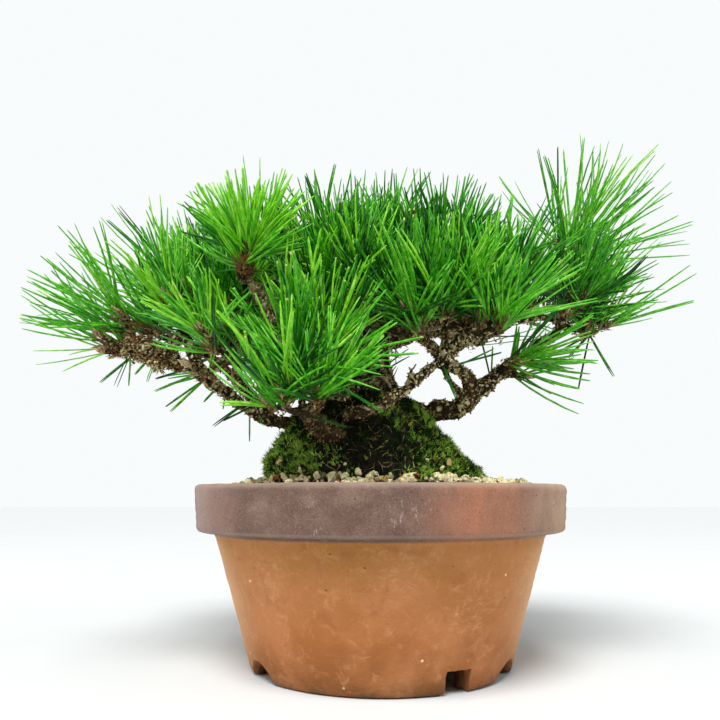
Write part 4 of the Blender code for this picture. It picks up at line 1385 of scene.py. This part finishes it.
needlePaints = [
    needleFinish("needleFresh", (84, 170, 4), (118, 202, 20), (172, 228, 84), 0.42, 0.36),
    needleFinish("needleSpring", (44, 138, 1), (76, 172, 10), (138, 212, 72), 0.42, 0.36),
    needleFinish("needleSummer", (14, 94, 0), (40, 134, 5), (92, 178, 44), 0.44, 0.33),
    needleFinish("needleDeep", (4, 44, 0), (16, 78, 2), (50, 122, 22), 0.5, 0.25),
    needleFinish("needleCut", (122, 150, 56), (158, 178, 88), (194, 204, 128), 0.6),
    needleFinish("needleDry", (122, 96, 46), (156, 128, 66), (184, 160, 96), 0.6),
]
pairs = planPairs(needleValues)
for pieceName, massNames in needleValues["pieces"].items():
    members = ["foliage_" + short for short in massNames]
    mine = np.isin(pairs["mass"], members)
    points, faces, slots = needleArrays({key: value[mine] for key, value in pairs.items()}, needleValues)
    piece = pieceFrom(pieceName, points, faces, needlePaints, slots)
    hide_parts(*members)
    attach(piece, "root")
    print(pieceName + ":", countFaces(piece), "triangles")
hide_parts(*treeValues["masses"])


# sheaths at the pairs' feet, brown scales round the twigs, and the buds

scaleValues = {
    "perSpray": 24,
    "length": (1.4, 2.7),   # mm
    "width": 0.95,
    "thick": 0.32,
    "rusty": ("foliage_upper_left", "foliage_left_tip"),
    # where scales cover a limb, as shares along it, and how many
    "oldWood": {
        "bough_left": (0.62, 1.0, 220), "bough_right_outer": (0.6, 1.0, 90),
        "bough_upper_left": (0.45, 1.0, 300),
        "clump": (0, 1, 300), "clumpTop": (0, 1, 180), "clumpSide": (0, 1, 130), "clumpLow": (0, 1, 90),
        "second": (0.4, 1.0, 90), "bough_mid": (0.84, 1.0, 70), "bough_front": (0.45, 1.0, 260),
    },
    "bud": (5.2, 1.05),     # length and radius, mm
    "budSides": 7,
    "budRings": ((0, 0.55), (0.2, 1), (0.5, 0.85), (0.8, 0.42)),    # shares of both
}


def spikeArrays(root, way, face, length, width, thick):
    # closed slivers: a flat three-cornered foot and a tip
    across = units(np.cross(way, face))
    face = np.cross(across, way)
    tip = root + way * length[:, None]
    side = across * width / 2
    points = np.stack([root - side, root + side, root + face * thick, tip], axis=1)
    first = (np.arange(len(root)) * 4)[:, None]
    faces = np.concatenate([first + np.array(f) for f in ((0, 1, 2), (0, 3, 1), (1, 3, 2), (2, 3, 0))])
    return points.reshape(-1, 3), faces


def sheathArrays(pairs, length):
    # a ragged four-sided tube round the foot of each pair
    way = pairs["way"]
    across = units(pairs["spread"])
    along = np.cross(way, across)
    rings = []
    for share, radius in ((0, 0.6), (0.5, 0.74), (1, 0.56)):
        middle = pairs["root"] + way * (share * length - 0.6)
        rings += [middle + radius * side for side in (across, along, -across, -along)]
    points = np.stack(rings, axis=1)
    first = (np.arange(len(way)) * 12)[:, None]
    faces = [first + np.array([3, 2, 1, 0]), first + np.array([8, 9, 10, 11])]
    for level in (0, 4):
        faces += [first + level + np.array([k, (k + 1) % 4, 4 + (k + 1) % 4, 4 + k]) for k in range(4)]
    return points.reshape(-1, 3), np.concatenate(faces)


def makeScales(values):
    rows = []
    seeded = random.Random(41)
    for name, tip, axis, run in sprays:
        sides = sideAxes(axis)
        head = 2 if name == "foliage_upper_left" else 1     # the broom has a stout rusty head
        for k in range(values["perSpray"] * head):
            outward = around(k * goldenTurn, *sides)
            down = seeded.uniform(-0.5, run + 3)
            lean = seeded.uniform(0.35, 1.0)
            rows.append((
                tip - down * axis + outward * (0.9 * head + 0.03 * down),
                unit(around(lean, axis, outward)), outward,
                seeded.uniform(*values["length"]) * (1.0 if down < 4 else 0.75),
                -0.4 if name in values["rusty"] else 0,
            ))
    for limb, (start, end, count) in values["oldWood"].items():
        line, girth = plan[limb]
        for k in range(count):
            share = seeded.uniform(start, end)
            middle, ahead = pointAt(line, share), pointAt(line, min(1, share + 0.03))
            axis = unit(ahead - middle) if share < 0.97 else unit(line[-1] - line[-2])
            outward = around(k * goldenTurn, *sideAxes(axis))
            lean = seeded.uniform(0.5, 1.3)
            rows.append((
                middle + outward * (np.interp(share, (0, 1), (girth[0], girth[-1])) - 0.5),
                unit(around(lean, axis, outward)), outward,
                seeded.uniform(*values["length"]), 0.62 if limb == "bough_upper_left" else 0,
            ))
    *placed, paler = (np.array(column) for column in zip(*rows))
    points, found = spikeArrays(*placed, values["width"], values["thick"])
    sheathed = {key: value[pairs["sheathed"]] for key, value in pairs.items()}
    sheathPoints, sheathFaces = sheathArrays(sheathed, needleValues["sheath"])
    picks = np.random.default_rng(8).random(len(found) // 4) + paler
    scaleSlots = np.tile(np.where(picks < 0.34, 0, np.where(picks < 0.66, 1, np.where(picks < 1, 2, 4))), 4)
    sheathPick = np.random.default_rng(9).random(len(sheathFaces) // 10)
    sheathSlots = np.tile(np.where(sheathPick < 0.5, 3, 1), 10)
    faces = found.tolist() + (sheathFaces + len(points)).tolist()
    return np.concatenate([points, sheathPoints]), faces, np.concatenate([scaleSlots, sheathSlots])


def makeBuds(values):
    length, radius = values["bud"]
    points, faces = [], []
    sides, rings = values["budSides"], values["budRings"]
    for order, (name, tip, axis, _) in enumerate(sprays):
        seeded = random.Random(order)
        across, along = sideAxes(axis)
        size = seeded.uniform(0.75, 1.2) * (0.45 if name == "foliage_upper_left" else 1)
        first = len(points)
        for level, (share, girth) in enumerate(rings):
            for k in range(sides):
                turned = 2 * math.pi * (k + 0.5 * (level % 2)) / sides
                reach = radius * girth * size * (1 + 0.12 * (k % 2))
                out = around(turned, across, along)
                points.append(tip + axis * (share * length * size - 0.8) + reach * out)
        points.append(tip + axis * (length * size - 0.8))
        faces.append([first + k for k in range(sides)][::-1])
        for level in range(len(rings) - 1):
            for k in range(sides):
                low, after = first + level * sides, (k + 1) % sides
                faces.append([low + k, low + after, low + sides + after, low + sides + k])
        top = first + (len(rings) - 1) * sides
        faces += [[top + k, top + (k + 1) % sides, len(points) - 1] for k in range(sides)]
    return np.array(points), faces


scalePaints = fleckedPaints(
    "paper",
    ("scaleRust", (92, 54, 22), (152, 98, 48)),
    ("scaleBark", (68, 52, 28), (122, 100, 62)),
    ("scaleStraw", (140, 114, 66), (200, 176, 122)),
    ("sheathGrey", (92, 78, 48), (158, 140, 96)),
    ("scaleCream", (206, 186, 142), (250, 238, 204)),
)
points, faces, slots = makeScales(scaleValues)
scales = pieceFrom("scales", points, faces, scalePaints, slots, smooth=False)
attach(scales, "root")
points, faces = makeBuds(scaleValues)
buds = pieceFrom("buds", points, faces, fleckedPaints("paper", ("budScale", (112, 78, 46), (206, 186, 148))))
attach(buds, "root")
print("scales and sheaths:", countFaces(scales), "triangles, buds:", countFaces(buds))


# soil and grit in the pot

gritValues = {
    # radius and height from the floor of the pot up its inside and over the top
    "soilRoute": (
        (0.4, 14.9), (44.6, 14.9), (61.6, 52), (65.2, 65.6), (65.5, 66.4), (64, 67.2), (60, 69), (55, 70.2),
        (48, 70.8), (30, 71), (0.4, 71),
    ),
    # reach and height of the surface that grains lie on
    "soilTop": ((0, 71), (48, 70.8), (55, 70.2), (60, 69), (64, 67.2), (65.6, 66.2)),
    "grains": 1750,
    "sizes": (1.1, 3.6),        # mm across, least and most, more small than large
    "onMound": 70,              # grains lying on the mound's foot
    "onMoundWhere": (200.5, 338),   # degrees round the pot
    "pile": 44,                 # larger ones heaped before it
    "pileWhere": (232, 312),
    "stones": 6,                # shapes that the grains are dealt from
    "stretch": (1.35, 1.05, 0.85),
}


def makeSoil(values):
    soil = turnUp("potting_soil", spaced(values["soilRoute"], 3.2), 96)
    closeUp(soil)
    points = pointsOf(soil)
    for point in points:
        if point[2] > 66.5:
            point[2] += 0.7 * noise.fractal(Vector(point * 0.35), 0.8, 2.1, 3) - 0.3
    movePoints(soil, points)
    return smoothed(soil)


def earthFinish():
    earth = Finish("darkEarth", 0.95, 0.2)
    crumbs = earth.grain(1.4, 6, 0.7)
    lumps = earth.cells(2.2)
    earth.colour(earth.tones(crumbs, (0.36, (8, 7, 3)), (0.54, (22, 18, 9)), (0.74, (70, 58, 36))))
    earth.bump(crumbs, 0.6)
    earth.bump(lumps, 0.5)
    return earth.material


def grainShapes(values):
    # broken stones, each an icosphere cut by planes and roughened
    shapes = []
    for k in range(values["stones"]):
        bpy.ops.object.select_all(action="DESELECT")
        bpy.ops.mesh.primitive_ico_sphere_add(subdivisions=2, radius=mm)
        stone = bpy.context.object
        seeded = random.Random(60 + k)
        bpy.ops.object.mode_set(mode="EDIT")
        for _ in range(8):
            cut = unit(strayFrom(seeded, 1))
            far = cut * seeded.uniform(0.38, 0.72) * mm
            bpy.ops.mesh.select_all(action="SELECT")
            bpy.ops.mesh.bisect(plane_co=far, plane_no=cut, use_fill=True, clear_outer=True, threshold=1e-7)
        bpy.ops.mesh.select_all(action="SELECT")
        bpy.ops.mesh.quads_convert_to_tris()
        bpy.ops.object.mode_set(mode="OBJECT")
        points = pointsOf(stone)
        for point in points:
            point += np.array(noise.noise_vector(Vector(point * 1.9 + 10 * k))) * 0.2
        corners = np.array([face.vertices[:] for face in stone.data.polygons])
        shapes.append((points * values["stretch"], corners))
        bpy.data.objects.remove(stone, do_unlink=True)
    return shapes


def scatterGrains(values):
    seeded = random.Random(12)
    shapes = grainShapes(values)
    moundHeights, moundWidths, _ = zip(*treeValues["moundRoute"])
    soilReach, soilHeights = zip(*values["soilTop"])
    points, faces, slots = [], [], []
    total = 0
    low, high = values["sizes"]
    loose, lying = values["grains"], values["grains"] + values["onMound"]
    for k in range(lying + values["pile"]):
        turned = seeded.uniform(0, 360)
        size = low + (high - low) * seeded.random() ** 2.2
        if k >= lying:
            turned = seeded.uniform(*values["pileWhere"])
            size = 1.5 + 2 * seeded.random() ** 1.5
            reach = seeded.uniform(44.5, 50)
            place = polar(turned, reach, 70.6 + 2.6 * seeded.random() ** 1.5) + (-3, 0, 0)
        elif k < loose:
            reach = math.sqrt(seeded.uniform(38**2, (66 - 0.5 * size) ** 2))
            place = polar(turned, reach, np.interp(reach, soilReach, soilHeights) + 0.2 * size)
            middle = math.hypot(place[0] + 3.5, place[1])
            if middle < 43 or noise.noise(Vector(place * 0.11 + 3)) > 0.26:
                continue
            if place[1] < 0 and middle < 56 and noise.noise(Vector(place * 0.16 + 8)) > -0.12:
                continue
        else:
            height = 71.5 + 9 * seeded.random() ** 3
            size = min(size, 2.1)
            place = polar(turned, np.interp(height, moundHeights, moundWidths) + 0.5, height)
            place[0] += moundMiddle(height)
            least, most = values["onMoundWhere"]
            if not least < turned < most:
                continue
        shape, corners = shapes[k % len(shapes)]
        turn, _ = np.linalg.qr(np.array([strayFrom(seeded, 1) for _ in range(3)]))
        turn *= np.sign(np.linalg.det(turn))
        points.append(place + size * 0.62 * shape @ turn.T)
        faces.append(corners + total)
        total += len(shape)
        pick = seeded.random() - (0.0 if size < 2.2 else 0.1)
        slots += [0 if pick < 0.58 else 1 if pick < 0.82 else 2 if pick < 0.93 else 3] * len(corners)
    return np.concatenate(points), np.concatenate(faces).tolist(), slots


def stoneFinish(name, dark, light, bubbles):
    stone = Finish(name, 0.92, 0.25)
    dirt = stone.grain(1.2, 5, 0.68)
    holes = stone.between(stone.cells(0.55), 0.12, 0.32)
    colour = stone.tones(dirt, (0.3, dark), (0.6, light))
    stone.colour(stone.mixed(stone.times(stone.sums("SUBTRACT", 1, holes), bubbles), colour, (96, 78, 48)))
    stone.bump(holes, 0.22)
    stone.bump(dirt, 0.2)
    return stone.material


earthPaint = earthFinish()
soil = makeSoil(gritValues)
soil.data.materials.append(earthPaint)
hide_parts("soil")
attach(soil, "root")
points, faces, slots = scatterGrains(gritValues)
grit = pieceFrom("grit", points, faces, [
    stoneFinish("pumiceCream", (158, 146, 98), (222, 212, 170), 0.6),
    stoneFinish("pumiceTan", (126, 104, 60), (184, 160, 108), 0.6),
    stoneFinish("pumiceGrey", (70, 62, 42), (126, 116, 88), 0.5),
    stoneFinish("clayCrumb", (92, 48, 26), (146, 88, 54), 0.3),
], slots, smooth=False)
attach(grit, "root")
print("soil:", countFaces(soil), "triangles, grit:", countFaces(grit))


# the mossy mound: dark rooty earth, cushions of moss and fine dry roots

moundValues = {
    "sides": 132,
    "waves": ((2, 0.02), (3, 0.022), (5, 0.024), (7, 0.016)),
    "lumps": 2.3,               # mm
    "under": 2.9,               # mm that the earth lies under the moss
    "hem": (48.5, 70.2),        # radius and height of its foot in the soil
    "cap": ((17, 107), (11, 108.6), (5, 109.3)),    # radius and height over the top
    "sprigs": 19000,
    "blades": 4,                # in each sprig
    "bladeLength": (1.2, 3.0),  # mm
    "bladeWidths": (0.46, 0.34),
    "bareFront": (246, 288),    # degrees round the mound where the moss is thin
    "roots": 420,
}


def makeMound(values):
    sides = [(radius, height) for height, radius, _ in treeValues["moundRoute"]]
    mound = turnUp("mossy_earth", spaced([values["hem"], *sides, *values["cap"]], 1.3), values["sides"])
    closeUp(mound)
    points = pointsOf(mound)
    seeded = random.Random(5)
    phases = [seeded.uniform(0, 2 * math.pi) for _ in values["waves"]]
    for point in points:
        turned = math.atan2(point[1], point[0])
        waves = zip(values["waves"], phases)
        wave = sum(depth * math.sin(n * turned + phase + 0.05 * point[2]) for (n, depth), phase in waves)
        spot = Vector(point)
        lump = noise.fractal(spot * 0.16, 0.9, 2.0, 3)
        lump += 0.35 * noise.fractal(spot * 0.7 + Vector((3, 5, 7)), 0.8, 2.2, 2)
        reach = math.hypot(point[0], point[1])
        grown = (1 + wave) * reach + values["lumps"] * lump * min(1, reach / 12) - values["under"]
        point[:2] *= grown / max(reach, 0.1)
        point[0] += moundMiddle(point[2])
    movePoints(mound, points)
    return smoothed(mound)


def mossCover(places, values):
    # how thick the moss grows, 0 to 1: thin on the dark front, full elsewhere, in patches
    turned = degreesRound(places)
    low, high = values["bareFront"]
    side = np.maximum(low - turned, turned - high)
    patches = noiseAt(places, 0.11, 4)
    cover = np.clip((side + 24 * patches + 15) / 16, 0.22, 1)
    return cover * np.clip((places[:, 2] - 70.6) / 1.5, 0, 1)


def growMoss(mound, values):
    places, ways, dealt = onSurface(mound, values["sprigs"], 3)
    keep = dealt.random(len(places)) < mossCover(places, values)
    keep &= (places[:, 2] < 108.5) & (ways[:, 2] > -0.2)
    places, ways = places[keep], ways[keep]
    x, _, z = places.T
    count, blades = len(places), values["blades"]
    low, high = values["bladeLength"]
    clumps = noiseAt(places, 0.32, 9)
    size = (low + (high - low) * dealt.random(count)) * (1 + 0.5 * clumps)
    stems = units(ways + 0.35 * upward + 0.22 * dealt.normal(size=(count, 3)))
    roots, directions, lengths = [], [], []
    for _ in range(blades):
        stray = dealt.normal(size=(count, 3)) * 0.42
        roots.append(places - 0.25 * ways + 0.22 * dealt.normal(size=(count, 3)))
        directions.append(units(stems + stray))
        lengths.append(size * dealt.uniform(0.7, 1.1, count))
    roots, directions = np.concatenate(roots), np.concatenate(directions)
    helper = units(dealt.normal(size=directions.shape))
    points, faces = spikeArrays(roots, directions, helper, np.concatenate(lengths), *values["bladeWidths"])

    # greens are dealt out by cushion: brighter low and at the sides, darker on the front and near the top
    right = (x - moundMiddle(z)) / 45
    bright = noiseAt(places, 0.085, 21) + 0.5 * noiseAt(places, 0.4) + 0.28 * np.abs(right) - 0.012 * (z - 84)
    bright += 0.25 * dealt.normal(size=count)
    bright -= 0.5 * np.clip(1 - np.abs(degreesRound(places) - 266) / 30, 0, 1)
    bright -= 0.36 * np.clip((z - 93) / 8, 0, 1) * np.clip(1 - 1.6 * right, 0, 1)
    bright += 0.2 * np.clip(-1.4 * right, 0, 1) + np.where((right > 0.1) & (z > 92), 0.16, 0)
    slot = np.where(bright > 0.25, 0, np.where(bright > 0.07, 1, 2))
    slot = np.where(dealt.random(count) < 0.06, 3, slot)
    return points, faces.tolist(), np.tile(np.tile(slot, blades), 4)


def growRoots(mound, values):
    # fine dry roots that lie over the dark front
    places, ways, dealt = onSurface(mound, values["roots"] * 4, 7)
    turned = degreesRound(places)
    near = (np.abs(turned - 268) < 48) | (dealt.random(len(places)) < 0.10)
    keep = near & (places[:, 2] > 71.5) & (places[:, 2] < 106)
    places, ways = places[keep], ways[keep]
    points, faces, slots = [], [], []
    for place, way in zip(places, ways):
        across, along = sideAxes(way)
        turned = dealt.uniform(0, 2 * math.pi)
        run = around(turned, across, along)
        side = np.cross(way, run)
        length, girth = dealt.uniform(1.5, 5.5), dealt.uniform(0.07, 0.15)
        bend, rise = dealt.normal() * 0.35, dealt.uniform(0.2, 0.9)
        first = len(points)
        for t in (0, 0.33, 0.67, 1):
            middle = place + length * (t - 0.5) * run + length * bend * (t - 0.5) ** 2 * side
            middle = middle + way * (0.25 + rise * 4 * t * (1 - t))
            for k in range(3):
                out = around(k * 2.094, way, side)
                points.append(middle + girth * (1.1 - 0.6 * t) * out)
        faces += [[first + corner for corner in corners] for corners in tubeFaces(3, 4)]
        slots += [int(dealt.integers(0, 3))] * 11
    return np.array(points), faces, slots


mound = makeMound(moundValues)
mound.data.materials.append(earthPaint)
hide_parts("moss_mound")
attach(mound, "root")
points, faces, slots = growMoss(mound, moundValues)
moss = pieceFrom("moss", points, faces, fleckedPaints(
    "moss",
    ("mossBright", (74, 124, 14), (170, 208, 84)),
    ("mossGreen", (6, 30, 1), (44, 88, 10)),
    ("mossDark", (3, 14, 1), (20, 46, 6)),
    ("mossStraw", (84, 80, 24), (156, 146, 66)),
), slots, smooth=False)
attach(moss, "root")
points, faces, slots = growRoots(mound, moundValues)
roots = pieceFrom("dry_roots", points, faces, [scalePaints[1], scalePaints[3], scalePaints[2]], slots)
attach(roots, "root")
print("mound:", countFaces(mound), "triangles, moss:", countFaces(moss), "roots:", countFaces(roots))
